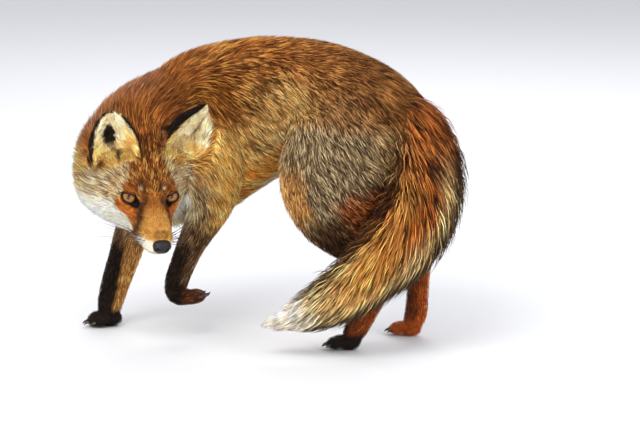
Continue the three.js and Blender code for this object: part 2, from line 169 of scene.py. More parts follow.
HIND_RIGHT_FOOT = [
    [140, -4, 134, 12, 10, 10, 2.5],
    [144, -6, 118, 20, 16, 16, 3.5],
    [141, -6, 94, 18, 14.5, 14.5, 3.5],
    [139, -7, 64, 17.5, 14.5, 14.5, 3.2],
    [137, -6, 36, 17.5, 15, 15, 3],
    [133, -5, 18, 16, 15, 15, 2.6],
]
FORE_LEFT = [
    [-168, -24, 348, 22, 16, 18, 5],
    [-168, -28, 318, 44, 30, 30, 9],
    [-166, -30, 278, 56, 34, 34, 10],
    [-157, -31, 232, 50, 33, 32, 9],
    [-155, -30, 198, 35, 27, 27, 7],
    [-165, -29, 170, 26, 22, 22, 5],
    [-180, -28, 142, 21.5, 19, 19, 4],
    [-194, -26, 110, 19, 17, 17, 3.5],
    [-204, -24, 82, 17.5, 15.5, 15.5, 3],
    [-207, -23, 66, 16, 14, 14, 2.6],
    [-206, -23, 54, 7, 7, 7, 1.5],
]
FORE_RIGHT = [
    [-216, 58, 336, 22, 16, 18, 5],
    [-230, 66, 304, 44, 28, 30, 9],
    [-240, 72, 262, 54, 32, 34, 10],
    [-244, 76, 216, 48, 30, 31, 9],
    [-250, 77, 186, 37, 26, 26, 7],
    [-262, 75, 158, 28, 22, 22, 5.5],
    [-273, 74, 130, 26, 21, 21, 4.5],
    [-283, 71, 98, 24, 19, 19, 4],
    [-294, 67, 66, 22, 17.5, 17.5, 3.5],
    [-302, 64, 38, 20, 17, 17, 3.2],
    [-306, 62, 18, 17, 16, 16, 3],
]

# The head's rings: ahead, half width, top, bottom, widest level, how far the middle lies to the
# right; then the coat's depth at the side, on top and underneath.
HEAD = [
    [79, 10, -20, -36, -28, 0, 1.2, 1.0, 1.2],
    [75, 16, -15, -43, -30, 0, 1.3, 1.1, 1.4],
    [66, 19.5, -10, -49, -31, 0, 1.5, 1.2, 2.0],
    [52, 22.5, -5, -54, -32, 0, 1.8, 1.5, 3.0],
    [36, 27, -0.5, -59, -33, 0, 2.2, 1.8, 5.0],
    [22, 31, 4.5, -64, -31, 0, 3.0, 2.2, 8.0],
    [11, 36, 10, -69, -27, 0, 4.0, 2.8, 12.0],
    [1, 43.5, 17.5, -75, -21, 0.5, 5.5, 3.2, 16.0],
    [-10, 52.5, 25, -82, -20, 1.5, 8.5, 3.6, 20.0],
    [-24, 65, 32.5, -89, -24, 3, 13.0, 4.2, 23.0],
    [-40, 78, 38, -94, -29, 4.5, 17.0, 5.0, 24.0],
    [-57, 87, 41, -96, -32, 5, 20.0, 5.5, 25.0],
    [-74, 87, 40, -95, -30, 5, 20.0, 6.0, 25.0],
    [-90, 77, 33, -86, -24, 5, 18.0, 7.0, 22.0],
    [-104, 56, 22, -68, -18, 3, 14.0, 6.0, 16.0],
    [-114, 26, 8, -40, -16, 0, 6.0, 3.0, 8.0],
]

EARS = [
    {"name": "right", "side": -1, "foot": (-49, 41.5, 21), "lean": 14, "back": 4, "open": 8,
     "length": 88.0, "half_width": 45.0, "cup": 22.0, "turned_edge": 2.0},
    {"name": "left", "side": 1, "foot": (-57, 42, 29), "lean": 44, "back": 23, "open": 19,
     "length": 83.0, "half_width": 45.0, "cup": 17.0, "turned_edge": 9.0},
]
EAR_WALL, EAR_COAT = 5.0, 0.9

FOREPAW = {"length": 56.0, "width": 42.0, "height": 25.0}
HINDPAW = {"length": 52.0, "width": 37.0, "height": 23.0}
PAWS = {
    "fore_right": {"size": FOREPAW, "at": (-311, 59, 0), "turn": -18},
    "hind_left": {"size": HINDPAW, "at": (33, -90, 0), "turn": 8},
    "hind_right": {"size": HINDPAW, "at": (122, 0, 0), "turn": 22},
    "fore_left": {"size": FOREPAW, "at": (-188, -21, 73), "lifted": True, "turn": 184, "tip": -181},
}
PAW_COAT = 2.6

# ------------------------------------------------------------------ small tools


def rise(x, low, high):
    """0 below low, 1 above high, and a smooth S between them (3u^2 - 2u^3)."""
    u = np.clip((x - low) / (high - low), 0, 1)
    return u * u * (3 - 2 * u)


def fall(x, low, high):
    """The other way round: 1 below low and 0 above high."""
    return 1 - rise(x, low, high)


def bump(x, middle, width):
    """A bell: 1 at the middle, falling to 1/e one width away."""
    return np.exp(-(((x - middle) / width) ** 2))


def mix(a, b, share):
    """a where share is 0, b where it is 1; share may be one number a row."""
    share = np.asarray(share, float)
    if np.ndim(a) > share.ndim or np.ndim(b) > share.ndim:
        share = share[..., None]
    return a + (b - a) * share


def corner_value(i, j, k, seed):
    """A repeatable random number from 0 to 1 for each corner of a lattice of cubes."""
    h = (i * 73856093) ^ (j * 19349663) ^ (k * 83492791) ^ (seed * 2654435761 % 4294967296)
    h = h.astype(np.uint64) & np.uint64(0xFFFFFFFF)
    h = (h ^ (h >> np.uint64(13))) * np.uint64(1274126177) & np.uint64(0xFFFFFFFF)
    h = (h ^ (h >> np.uint64(16))) * np.uint64(2246822519) & np.uint64(0xFFFFFFFF)
    return ((h ^ (h >> np.uint64(15))) & np.uint64(0xFFFFFF)).astype(float) / 0xFFFFFF


def noise(points, size, seed):
    """Random values at the corners of cubes `size` wide, blended smoothly between; 0 to 1."""
    q = np.asarray(points) / size + 1000.0
    base = np.floor(q).astype(np.int64)
    f = q - base
    f = f * f * (3 - 2 * f)
    total = 0
    for corner in itertools.product((0, 1), repeat=3):
        x, y, z = (f[:, k] if corner[k] else 1 - f[:, k] for k in range(3))
        total = total + x * y * z * corner_value(*(base + corner).T, seed)
    return total


def rough_noise(points, size, seed):
    """Three layers of noise, each half the size and about half the strength of the last; -1 to 1."""
    return (
        (noise(points, size, seed) - 0.5) * 1.2
        + (noise(points, size / 2, seed + 7) - 0.5) * 0.7
        + (noise(points, size / 4, seed + 13) - 0.5) * 0.4
    )


def curve_through(rows, t):
    """Centripetal Catmull-Rom curve through the rows, at t from 0 (first row) to 1 (last row)."""
    rows = np.asarray(rows, float)
    last = len(rows) - 1
    s = np.clip(t, 0, 1) * last
    i = np.minimum(s.astype(int), last - 1)
    w = (s - i)[:, None]
    padded = np.vstack([2 * rows[0] - rows[1], rows, 2 * rows[-1] - rows[-2]])
    p0, p1, p2, p3 = (padded[i + k] for k in range(4))
    d0, d1, d2 = (
        np.maximum(np.linalg.norm(b - a, axis=1, keepdims=True), 1e-6) ** 0.5
        for a, b in ((p0, p1), (p1, p2), (p2, p3))
    )
    m1 = ((p1 - p0) / d0 - (p2 - p0) / (d0 + d1) + (p2 - p1) / d1) * d1
    m2 = ((p2 - p1) / d1 - (p3 - p1) / (d1 + d2) + (p3 - p2) / d2) * d1
    return p1 + m1 * w + (3 * (p2 - p1) - 2 * m1 - m2) * w**2 + (2 * (p1 - p2) + m1 + m2) * w**3


def closed_grid(grid):
    """Points and faces of a closed surface from a stack of rings, both ends shut by a fan."""
    rings, sides = grid.shape[:2]
    i, j = np.meshgrid(np.arange(rings - 1), np.arange(sides), indexing="ij")
    a, b = i * sides + j, i * sides + (j + 1) % sides
    quads = np.stack([a, b, b + sides, a + sides], -1).reshape(-1, 4)
    tris = [quads[:, [0, 1, 2]], quads[:, [0, 2, 3]]]
    points = grid.reshape(-1, 3)
    j = np.arange(sides)
    first, last = len(points), len(points) + 1
    tris.append(np.stack([(j + 1) % sides, j, np.full(sides, first)], -1))
    top = (rings - 1) * sides
    tris.append(np.stack([top + j, top + (j + 1) % sides, np.full(sides, last)], -1))
    points = np.vstack([points, grid[0].mean(0), grid[-1].mean(0)])
    faces = np.vstack(tris)
    a, b, c = (points[faces[:, k]] for k in range(3))
    if np.einsum("ij,ij->", a, np.cross(b, c)) < 0:
        faces = faces[:, ::-1]
    return points, faces


def joined(parts):
    """Several (points, faces) as one."""
    points, faces, start = [], [], 0
    for p, f in parts:
        points.append(p)
        faces.append(f + start)
        start += len(p)
    return np.vstack(points), np.vstack(faces)


def new_mesh(name, points, faces, smooth=True):
    """A mesh of triangles straight from arrays, in metres in the shared frame."""
    mesh = bpy.data.meshes.new(name)
    mesh.vertices.add(len(points))
    mesh.vertices.foreach_set("co", ((points + SHIFT) * MM).astype(np.float32).ravel())
    mesh.loops.add(faces.size)
    mesh.loops.foreach_set("vertex_index", faces.astype(np.int32).ravel())
    mesh.polygons.add(len(faces))
    mesh.polygons.foreach_set("loop_start", np.arange(0, faces.size, faces.shape[1], dtype=np.int32))
    mesh.update(calc_edges=True)
    if smooth:
        mesh.polygons.foreach_set("use_smooth", np.ones(len(faces), bool))
    return mesh


def new_object(name, mesh, material=None):
    """An object in the scene that shows a mesh, with its material if it has one."""
    thing = bpy.data.objects.new(name, mesh)
    bpy.context.scene.collection.objects.link(thing)
    if material:
        mesh.materials.append(material)
    return thing


def finish_piece(thing, slot, *nodes):
    """Says which body a piece rides on, and hides the solids it stands for; slot is not used."""
    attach(thing, "root")
    if nodes:
        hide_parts(*nodes)
    return thing


def read_mesh(mesh):
    """Points in millimetres in the fox's frame, and triangles, of a mesh."""
    points = np.empty(len(mesh.vertices) * 3, np.float32)
    mesh.vertices.foreach_get("co", points)
    mesh.calc_loop_triangles()
    tris = np.empty(len(mesh.loop_triangles) * 3, np.int32)
    mesh.loop_triangles.foreach_get("vertices", tris)
    return points.reshape(-1, 3).astype(float) / MM - SHIFT, tris.reshape(-1, 3)


def settled(thing):
    """The mesh of an object with its modifiers worked in; the object itself is removed."""
    graph = bpy.context.evaluated_depsgraph_get()
    mesh = bpy.data.meshes.new_from_object(thing.evaluated_get(graph))
    bpy.data.objects.remove(thing)
    return mesh


def vertex_normals(points, faces):
    """Each point's outward direction: the sum of its faces' cross products, made unit length."""
    a, b, c = (points[faces[:, k]] for k in range(3))
    cross = np.cross(b - a, c - a)
    total = [sum(np.bincount(corner, way, len(points)) for corner in faces.T) for way in cross.T]
    return unit(np.stack(total, -1))


def edges_of(faces):
    """Each edge of the triangles once, as a pair of point numbers."""
    pairs = np.vstack([faces[:, [0, 1]], faces[:, [1, 2]], faces[:, [2, 0]]])
    return np.unique(np.sort(pairs, 1), axis=0)


def neighbour_mean(values, edges, count):
    """For each point, the mean of the values at the points joined to it by an edge."""
    a, b = edges.T
    number = np.bincount(a, minlength=count) + np.bincount(b, minlength=count)
    columns = values.reshape(count, -1).T
    total = [np.bincount(a, v[b], count) + np.bincount(b, v[a], count) for v in columns]
    return (np.stack(total, -1) / np.maximum(number, 1)[:, None]).reshape(values.shape)


# ------------------------------------------------------------------ tubes along curves

LOOK = 0.14  # how far along a curve, either way, a ring looks to know which way it faces


class Tube:
    """Egg-shaped rings along a smooth curve: centre - across*cos(a)*half + outward*sin(a)*reach."""

    SAMPLES = 121

    def __init__(self, rows, out):
        self.rows, self.out = np.asarray(rows, float), np.asarray(out, float)
        self.t = np.linspace(0, 1, self.SAMPLES)
        self.at = self.frame(self.t)
        steps = np.linalg.norm(np.diff(self.at["centre"], axis=0), axis=1)
        self.speed = np.append(steps, steps[-1]) * (self.SAMPLES - 1)

    def frame(self, t):
        """The ring at t: its centre, its own three axes, its half sizes and the coat's depth."""
        rows = self.rows
        centre = curve_through(rows[:, :3], t)
        before, after = (curve_through(rows[:, :3], np.clip(t + look, 0, 1)) for look in (-LOOK, LOOK))
        ahead = unit(after - before)
        outward = unit(self.out - ahead * (ahead @ self.out)[:, None])
        across = np.cross(ahead, outward)
        size = curve_through(rows[:, 3:6], t)
        coat = np.interp(t * (len(rows) - 1), np.arange(len(rows)), rows[:, 6])
        return {
            "centre": centre, "ahead": ahead, "outward": outward, "across": across,
            "size": size, "coat": coat,
        }

    def surface(self, rings, sides):
        """The skin under the coat: every ring is drawn in by the coat's depth."""
        f = self.frame(np.linspace(0, 1, rings))
        size = np.maximum(f["size"] - f["coat"][:, None], 0.36 * f["size"])
        angle = np.linspace(0, 2 * np.pi, sides, endpoint=False)
        reach = np.where(np.sin(angle) > 0, size[:, 1:2], size[:, 2:3])
        grid = (
            f["centre"][:, None]
            - f["across"][:, None] * (np.cos(angle) * size[:, :1])[..., None]
            + f["outward"][:, None] * (np.sin(angle) * reach)[..., None]
        )
        return closed_grid(grid)

    def locate(self, points):
        """Where points lie about the curve: t, the direction (across, out) about it, the distance rho in
        ring sizes, how far it faces ahead (front), and what is left along the curve (rest)."""
        f = self.at
        near = np.argmin((f["centre"] ** 2).sum(1) - 2 * points @ f["centre"].T, axis=1)
        d = points - f["centre"][near]
        size = f["size"][near]
        a = (d * f["across"][near]).sum(1) / size[:, 0]
        b = (d * f["outward"][near]).sum(1)
        b = b / np.where(b > 0, size[:, 1], size[:, 2])
        c = (d * f["ahead"][near]).sum(1)
        radius = np.maximum(np.hypot(a, b), 1e-3)
        sideways = unit(d - f["ahead"][near] * c[:, None])
        return {
            "t": self.t[near], "across": a / radius, "out": b / radius,
            "rho": np.sqrt(a * a + b * b + (c / size.mean(1)) ** 2),
            "ahead": f["ahead"][near], "coat": f["coat"][near], "front": -sideways[:, 0], "rest": c,
        }

    def point(self, t, across, out, rho, least=0.0):
        """The point at t whose direction about the curve is (across, out), rho ring sizes from it.
        Past the end it carries straight on; no ring counts as smaller than `least`."""
        f = self.frame(np.clip(t, 0, 1))
        size = np.maximum(f["size"], least)
        reach = np.where(out > 0, size[:, 1], size[:, 2])
        beyond = (np.maximum(t - 1, 0) * self.speed[-1])[:, None]
        return (
            f["centre"] + f["ahead"] * beyond
            + f["across"] * (across * size[:, 0] * rho)[:, None]
            + f["outward"] * (out * reach * rho)[:, None]
        )


UP = (0, 0, 1)
TUBES = {
    "trunk": Tube(TRUNK, UP),
    "neck": Tube(NECK, UP),
    "tail": Tube(TAIL, (0, -1, 0)),
    "hind_left": Tube(HIND_LEFT, (-0.42, -0.91, 0)),
    "hind_right": Tube(HIND_RIGHT, (0.42, 0.91, 0)),
    "fore_left": Tube(FORE_LEFT, (0, -1, 0)),
    "fore_right": Tube(FORE_RIGHT, (0, 1, 0)),
    "foot_left": Tube(HIND_LEFT_FOOT, (-0.42, -0.91, 0)),
    "foot_right": Tube(HIND_RIGHT_FOOT, (0.42, 0.91, 0)),
}

# ------------------------------------------------------------------ head, ears and paws under the coat


def head_surface(rings=90, sides=96):
    """Superellipse rings across the head, boxier than an ellipse on the muzzle, less the coat."""
    rows = np.asarray(HEAD, float)
    t = np.linspace(0, 1, rings)
    ahead, width, top = curve_through(rows[:, :3], t).T
    _, bottom, widest = curve_through(rows[:, [0, 3, 4]], t).T
    shift = curve_through(rows[:, [0, 4, 5]], t)[:, 2]
    row = t * (len(rows) - 1)
    side, over, under = (np.interp(row, np.arange(len(rows)), rows[:, k]) for k in (6, 7, 8))
    boxy = (0.86 + 0.12 * np.minimum(1, row / 7))[:, None]
    angle = np.linspace(0, 2 * np.pi, sides, endpoint=False)
    c, s = np.cos(angle)[None], np.sin(angle)[None]
    x = np.sign(c) * np.abs(c) ** boxy * (width - side)[:, None] - shift[:, None]
    reach = np.where(s > 0, (top - over - widest)[:, None], (widest - bottom - under)[:, None])
    y = widest[:, None] + np.sign(s) * np.abs(s) ** boxy * reach
    local = np.stack([np.broadcast_to(ahead[:, None], x.shape), x, y], -1)
    return closed_grid(in_head(local))


def ear_axes(ear):
    """Up along the ear, across it, and out of its mouth, head-local, with the foot it rises from."""
    lean, back, opened = (math.radians(ear[k]) for k in ("lean", "back", "open"))
    up = unit([-math.sin(back), ear["side"] * math.sin(lean), math.cos(back)])
    mouth = np.array([math.cos(opened), ear["side"] * math.sin(opened), 0])
    mouth = unit(mouth - up * (mouth @ up))
    foot = np.array([ear["foot"][0], ear["side"] * ear["foot"][1], ear["foot"][2]], float)
    return foot, up, np.cross(up, mouth), mouth


def ear_sizes(ear, h):
    """Half width, depth, wall and half angle of an ear's crescent at height h, 0 at the foot to 1."""
    tip = 1 - h
    half = 1.5 + ear["half_width"] * np.sqrt(tip) * (1 - 0.24 * tip**2)
    depth = 2 + ear["cup"] * tip**0.8
    wall = EAR_WALL * (0.55 + 0.45 * tip) + 34 * np.maximum(0, 0.3 - h)
    return half, depth, wall, np.radians(96 + 22 * tip)


def ear_surface(ear, levels=60, steps=40):
    """Crescents stacked along the ear: an outer arc, and back along an inner arc."""
    foot, up, across, mouth = ear_axes(ear)
    h = 1 - np.linspace(1, 0.0, levels) ** 1.5
    half, depth, wall, spread = ear_sizes(ear, h)
    hollow = np.maximum(0.05, depth - wall)
    k = np.linspace(-1, 1, steps)
    angle = spread[:, None] * k
    sideways = np.sin(np.clip(angle, -np.pi / 2, np.pi / 2))
    bulge = ear["turned_edge"] * bump(h, 0.52, 0.34)[:, None] * rise(-sideways * ear["side"], 0.5, 1.0)
    back = sideways * (half - EAR_COAT)[:, None] - bulge * ear["side"]
    outer = np.stack([back, -np.cos(angle) * np.maximum(depth - EAR_COAT, 0.3)[:, None]], -1)
    inset = np.minimum(wall, half)[:, None] * 0.5
    cup = -np.cos(angle) * (hollow + EAR_COAT * 0.6)[:, None]
    inner = np.stack([sideways * (half[:, None] - inset - 0.4), cup], -1)
    flat = np.concatenate([outer, inner[:, ::-1]], 1)
    local = (
        foot + up * (h * ear["length"] - 0.5)[:, None, None]
        + across * flat[..., :1] + mouth * flat[..., 1:]
    )
    return closed_grid(in_head(local))


def ball(centre, half, turn=0.0, rings=22, sides=28):
    """An ellipsoid: half sizes times (cos v cos u, cos v sin u, sin v), turned about Z, then moved."""
    v = np.linspace(-np.pi / 2, np.pi / 2, rings + 2)[1:-1, None]
    u = np.linspace(0, 2 * np.pi, sides, endpoint=False)[None]
    x, y, z = np.cos(v) * np.cos(u) * half[0], np.cos(v) * np.sin(u) * half[1], np.sin(v) * half[2] + 0 * u
    a = math.radians(turn)
    grid = np.stack([x * math.cos(a) - y * math.sin(a), x * math.sin(a) + y * math.cos(a), z], -1) + centre
    return closed_grid(grid)


def paw_matrix(paw):
    """The paw's own axes as rows (toes' way, its left, up from the sole) and its origin."""
    turn, x, y, z = math.radians(180 - paw["turn"]), *paw["at"]
    c, s = math.cos(turn), math.sin(turn)
    about_z = np.array([[c, -s, 0], [s, c, 0], [0, 0, 1]])
    if not paw.get("lifted"):
        return about_z.T, np.array([x, y, -0.03 * paw["size"]["height"]])
    tip = math.radians(paw["tip"] + 180)
    c, s = math.cos(tip), math.sin(tip)
    about_y = np.array([[c, 0, s], [0, 1, 0], [-s, 0, c]])
    return (about_z @ np.diag([1.0, -1.0, -1.0]) @ about_y).T, np.array([x, y, z], float)


# Each toe: how far over (in toe widths), how far forward (in paw lengths), its turn outwards.
TOES = [(-1.5, 0.20, 14), (-0.52, 0.33, 4), (0.52, 0.33, -4), (1.5, 0.20, -14)]
TOES_ACROSS = 4.9  # toe widths in a paw's width
TOE_GAP = 1.12


def paw_surface(paw):
    """A low pad and four toes that fan out in front, each a knuckle and a rounded end, less the coat."""
    length, width, height = (paw["size"][k] for k in ("length", "width", "height"))
    c = PAW_COAT
    pad = (length * 0.36 - c, width * 0.40 - c, height * 0.56 - c)
    parts = [ball((-length * 0.14, 0, height * 0.5), pad)]
    toe = width / TOES_ACROSS
    for place, reach, turn in TOES:
        over = place * toe * TOE_GAP
        half = (length * 0.19 - 0.6 * c, toe * 0.66, height * 0.46 - 0.7 * c)
        parts.append(ball((length * reach, over, height * 0.42), half, turn, 14, 18))
        knuckle = (length * (reach - 0.17), over * 0.86, height * 0.58)
        half = (length * 0.20 - 0.6 * c, toe * 0.60, height * 0.36 - 0.7 * c)
        parts.append(ball(knuckle, half, turn, 14, 18))
    rows, origin = paw_matrix(paw)
    return [(points @ rows + origin, faces) for points, faces in parts]


# ------------------------------------------------------------------ the skin

VOXEL = 1.9
SKIN_TRIANGLES = 150000
SMOOTH_ROUNDS, JOIN_ROUNDS = 8, 26
TUBE_RINGS, TUBE_SIDES = 110, 72
HEAD_REACH = 170  # no part of the head is further than this from between the eyes


def raw_skin():
    """All the closed surfaces made one by a voxel remesh, then evened out."""
    parts = [tube.surface(TUBE_RINGS, TUBE_SIDES) for tube in TUBES.values()]
    parts += [head_surface()] + [ear_surface(ear) for ear in EARS]
    for paw in PAWS.values():
        parts += paw_surface(paw)
    points, faces = joined(parts)
    thing = new_object("skin_raw", new_mesh("skin_raw", points, faces))
    remesh = thing.modifiers.new("one", "REMESH")
    remesh.mode, remesh.voxel_size, remesh.adaptivity = "VOXEL", VOXEL * MM, 0.0
    return read_mesh(settled(thing))


def smoothed(points, faces, weight, rounds):
    """Taubin smoothing: each round a step towards the neighbours' mean, then a little back."""
    edges = edges_of(faces)
    for _ in range(rounds):
        for step in (0.55, -0.35):
            points = points + (neighbour_mean(points, edges, len(points)) - points) * step * weight[:, None]
    return points


def eye_frame(side):
    """Centre of an eyeball and its axes, head-local: towards the outer corner, up, and out of the lids."""
    centre = np.array([EYE["ahead"], side * EYE["side"], EYE["above"]])
    out = unit([0.78, side * 0.42, 0.46])
    corner = np.array([-0.60, side * 0.78, 0.20])
    corner = unit(corner - out * (out @ corner))
    upward = np.cross(out, corner) * (1 if side < 0 else -1)
    return centre, corner, (upward if upward[2] > 0 else -upward), out


# The slit between the lids: half its length, how far its middle lies inwards, and each lid's edge
# as shares of the half length from the middle, and heights.
SLIT_HALF, SLIT_IN = 12.6, 1.0
UPPER_LID = ([-1, -0.8, -0.5, -0.15, 0.3, 0.7, 1], [-1.2, 2.4, 5.4, 5.8, 4.6, 2.6, 0.2])
LOWER_LID = ([-1, -0.7, -0.3, 0.1, 0.5, 0.8, 1], [-1.6, -3.8, -5.4, -6.0, -5.0, -2.6, -0.2])


def lid_edges(x):
    """Height of the upper and the lower lid's edge at x, along the slit from inner to outer corner."""
    u = np.clip((x + SLIT_IN) / SLIT_HALF, -1, 1)
    return np.interp(u, *UPPER_LID), np.interp(u, *LOWER_LID)


MOUTH = np.array([
    [81, 0, -37], [77, 9, -38.5], [70, 14.5, -39.5], [60, 18.5, -41], [50, 22, -42], [38, 25.5, -43],
    [26, 28.5, -42.5], [17, 31, -44]], float)


def from_line(points, line):
    """Distance of each point from a polyline, and how far along it the nearest place is (0 to 1)."""
    best, where = np.full(len(points), 1e9), np.zeros(len(points))
    lengths = np.linalg.norm(np.diff(line, axis=0), axis=1)
    start = np.concatenate([[0], np.cumsum(lengths)])
    for k, (a, b) in enumerate(zip(line[:-1], line[1:])):
        u = np.clip(((points - a) @ (b - a)) / ((b - a) @ (b - a)), 0, 1)
        d = np.linalg.norm(points - a - u[:, None] * (b - a), axis=1)
        nearer = d < best
        best = np.where(nearer, d, best)
        where = np.where(nearer, (start[k] + u * lengths[k]) / start[-1], where)
    return best, where


# Soft swellings and hollows of the face, the same on both sides: ahead, side, up, radius, height.
FACE_FORMS = [
    (-5, 27, 12, 8, 1.8),  # brow
    (-2, 12, 22, 9, 0.8),
    (6, 35, -14, 7, 0.9),  # under the eye
    (15, 19, -1, 6, -1.8),  # inner corner's hollow
    (27, 27, -9, 9, -1.3),  # side of the muzzle
    (-10, 50, -8, 13, 1.8),  # cheekbone
    (58, 19, -31, 9, 1.5),  # whisker pad
    (40, 25, -36, 8, 0.9),  # lip
    (-26, 0, 38, 9, -1.4),  # furrow of the forehead
    (-45, 0, 42, 10, -1.2),
]


def lid_gap(local, side):
    """In the lids' plane: x towards the outer corner, y up, z out, and the distance outside the slit."""
    centre, corner, upward, out = eye_frame(side)
    d = local - centre
    x, y, z = d @ corner, d @ upward, d @ out
    upper, lower = lid_edges(x)
    outside = np.where(y > (upper + lower) / 2, y - upper, lower - y)
    beyond = np.maximum(np.abs(x + SLIT_IN) - SLIT_HALF, 0)
    return x, y, z, np.where(beyond > 0, np.hypot(beyond, np.maximum(outside, 0)), outside)


def sculpt_head(points, faces):
    """Forms of the face as bells along the normals, a groove along the mouth, then sockets and lids:
    the skin near a slit is drawn onto a sphere just outside the eyeball, and inside the slit behind it."""
    local = to_head(points)
    normals = vertex_normals(points, faces) @ AXES.T
    folded = local * [1, 0, 1] + np.abs(local) * [0, 1, 0]
    move = sum(
        high * np.exp(-((folded - [f, l, u]) ** 2).sum(1) / reach**2)
        for f, l, u, reach, high in FACE_FORMS
    )
    groove, _ = from_line(folded, MOUTH)
    move = move + 0.9 * bump(groove, 4.0, 2.2) - 1.6 * bump(groove, 0, 1.2)
    local = local + normals * move[:, None]
    for side in (-1, 1):
        out = eye_frame(side)[3]
        x, y, z, outside = lid_gap(local, side)
        near = (z > -4) & (np.hypot(x, y) < 26)
        lid = np.sqrt(np.maximum((EYE_RADIUS + 1.5) ** 2 - x**2 - y**2, 0))
        share = fall(outside, 0.5, 9.0) * near
        over = 0.9 * rise(y, 2, 6) * fall(outside, 1.0, 4.5)
        raised = mix(z, np.maximum(lid, z * 0.4 + lid * 0.6) + over, share)
        sunk = lid - 1.2 - 2.6 * rise(-outside, 0.0, 1.4)
        target = np.where(outside < 0, sunk, raised)
        local = local + (np.where(near, target, z) - z)[:, None] * out
    return in_head(local)


def refine(points, faces, chosen):
    """Halves the edges of the chosen faces; their neighbours are cut to match."""
    mesh = new_mesh("refine", points, faces)
    work = bmesh.new()
    work.from_mesh(mesh)
    work.faces.ensure_lookup_table()
    edges = {e for i in np.flatnonzero(chosen) for e in work.faces[int(i)].edges}
    bmesh.ops.subdivide_edges(work, edges=list(edges), cuts=1, use_grid_fill=True)
    bmesh.ops.triangulate(work, faces=work.faces)
    work.to_mesh(mesh)
    work.free()
    result = read_mesh(mesh)
    bpy.data.meshes.remove(mesh)
    return result


def soften_joins(points, faces):
    """Fills the creases where limbs leave the body: plain smoothing, only where two tubes meet."""
    nearness = {
        name: np.maximum(0, 1.5 - tube.locate(points)["rho"]) ** 4 for name, tube in TUBES.items()
    }
    total = sum(nearness.values()) + 1e-6
    shares = np.stack([v / total for v in nearness.values()])
    meeting = np.clip(2.2 * (1 - (shares**2).sum(0)), 0, 1)
    tail = TUBES["tail"].locate(points)
    tail_share = shares[list(TUBES).index("tail")]
    meeting = meeting * (1 - rise(tail_share, 0.1, 0.5) * rise(tail["t"], 0.12, 0.2))
    local = to_head(points)
    meeting = meeting * (1 - rise(local[:, 0], -80, -55) * (np.linalg.norm(local, axis=1) < HEAD_REACH))
    edges = edges_of(faces)
    for _ in range(JOIN_ROUNDS):
        points = points + (neighbour_mean(points, edges, len(points)) - points) * 0.6 * meeting[:, None]
    return points


def make_skin():
    """One closed skin: made one, smoothed (less on face and paws), thinned (hardly on the head), cut finer
    round the eyes, softened where limbs join, and sculpted at the head."""
    points, faces = raw_skin()
    local = to_head(points)
    face_part = rise(local[:, 0], -60, -30) * (np.linalg.norm(local, axis=1) < 150)
    paw_part = fall(points[:, 2], 30, 60)
    weight = 1 - 0.45 * np.maximum(face_part, paw_part)
    points = smoothed(points, faces, weight, SMOOTH_ROUNDS)
    thing = new_object("skin_thin", new_mesh("skin_thin", points, faces))
    group = thing.vertex_groups.new(name="body")
    body = 1 - np.maximum(rise(local[:, 0], -100, -70) * (np.linalg.norm(local, axis=1) < HEAD_REACH), 0)
    for level in (0.15, 1.0):
        group.add([int(i) for i in np.flatnonzero((body > 0.5) == (level == 1.0))], level, "REPLACE")
    thin = thing.modifiers.new("thin", "DECIMATE")
    thin.ratio = SKIN_TRIANGLES / len(faces)
    thin.vertex_group = "body"
    points, faces = read_mesh(settled(thing))
    for reach in (22.0, 17.0):
        local = to_head(points[faces].mean(1))
        chosen = np.zeros(len(faces), bool)
        for side in (-1, 1):
            chosen |= np.linalg.norm(local - eye_frame(side)[0], axis=1) < reach
        points, faces = refine(points, faces, chosen)
    points = soften_joins(points, faces)
    points = sculpt_head(points, faces)
    points[:, 2] = np.maximum(points[:, 2], 0.4)
    return points, faces


skin_points, skin_faces = make_skin()
skin_normals = vertex_normals(skin_points, skin_faces)

# ------------------------------------------------------------------ where on the fox each point is


def head_place(local):
    """Offsets about the head's rings in ring sizes (side, up), and the distance rho from its core."""
    rows = np.asarray(HEAD, float)[::-1]
    width, top, bottom, widest, shift = (np.interp(local[:, 0], rows[:, 0], row) for row in rows.T[1:6])
    x = (local[:, 1] + shift) / width
    dy = local[:, 2] - widest
    y = dy / np.where(dy > 0, top - widest, widest - bottom)
    past = np.maximum(np.maximum(local[:, 0] - 79, -114 - local[:, 0]), 0) / 20
    return x, y, np.sqrt(x * x + y * y + past * past)


def ear_place(local, ear):
    """Height up an ear (0 foot, 1 tip), across in half widths, forward in depths, and if it is near."""
    foot, up, across, mouth = ear_axes(ear)
    d = local - foot
    h = d @ up / ear["length"]
    half, depth, _, _ = ear_sizes(ear, np.clip(h, 0, 1))
    sideways, forward = d @ across, d @ mouth
    reach = half + 4 + ear["turned_edge"] * (sideways * ear["side"] < 0)
    near = (np.abs(sideways) < reach) & (forward > -depth - 5) & (forward < 16)
    return h, sideways / half, forward / depth, near & (h > -0.05) & (h < 1.08)


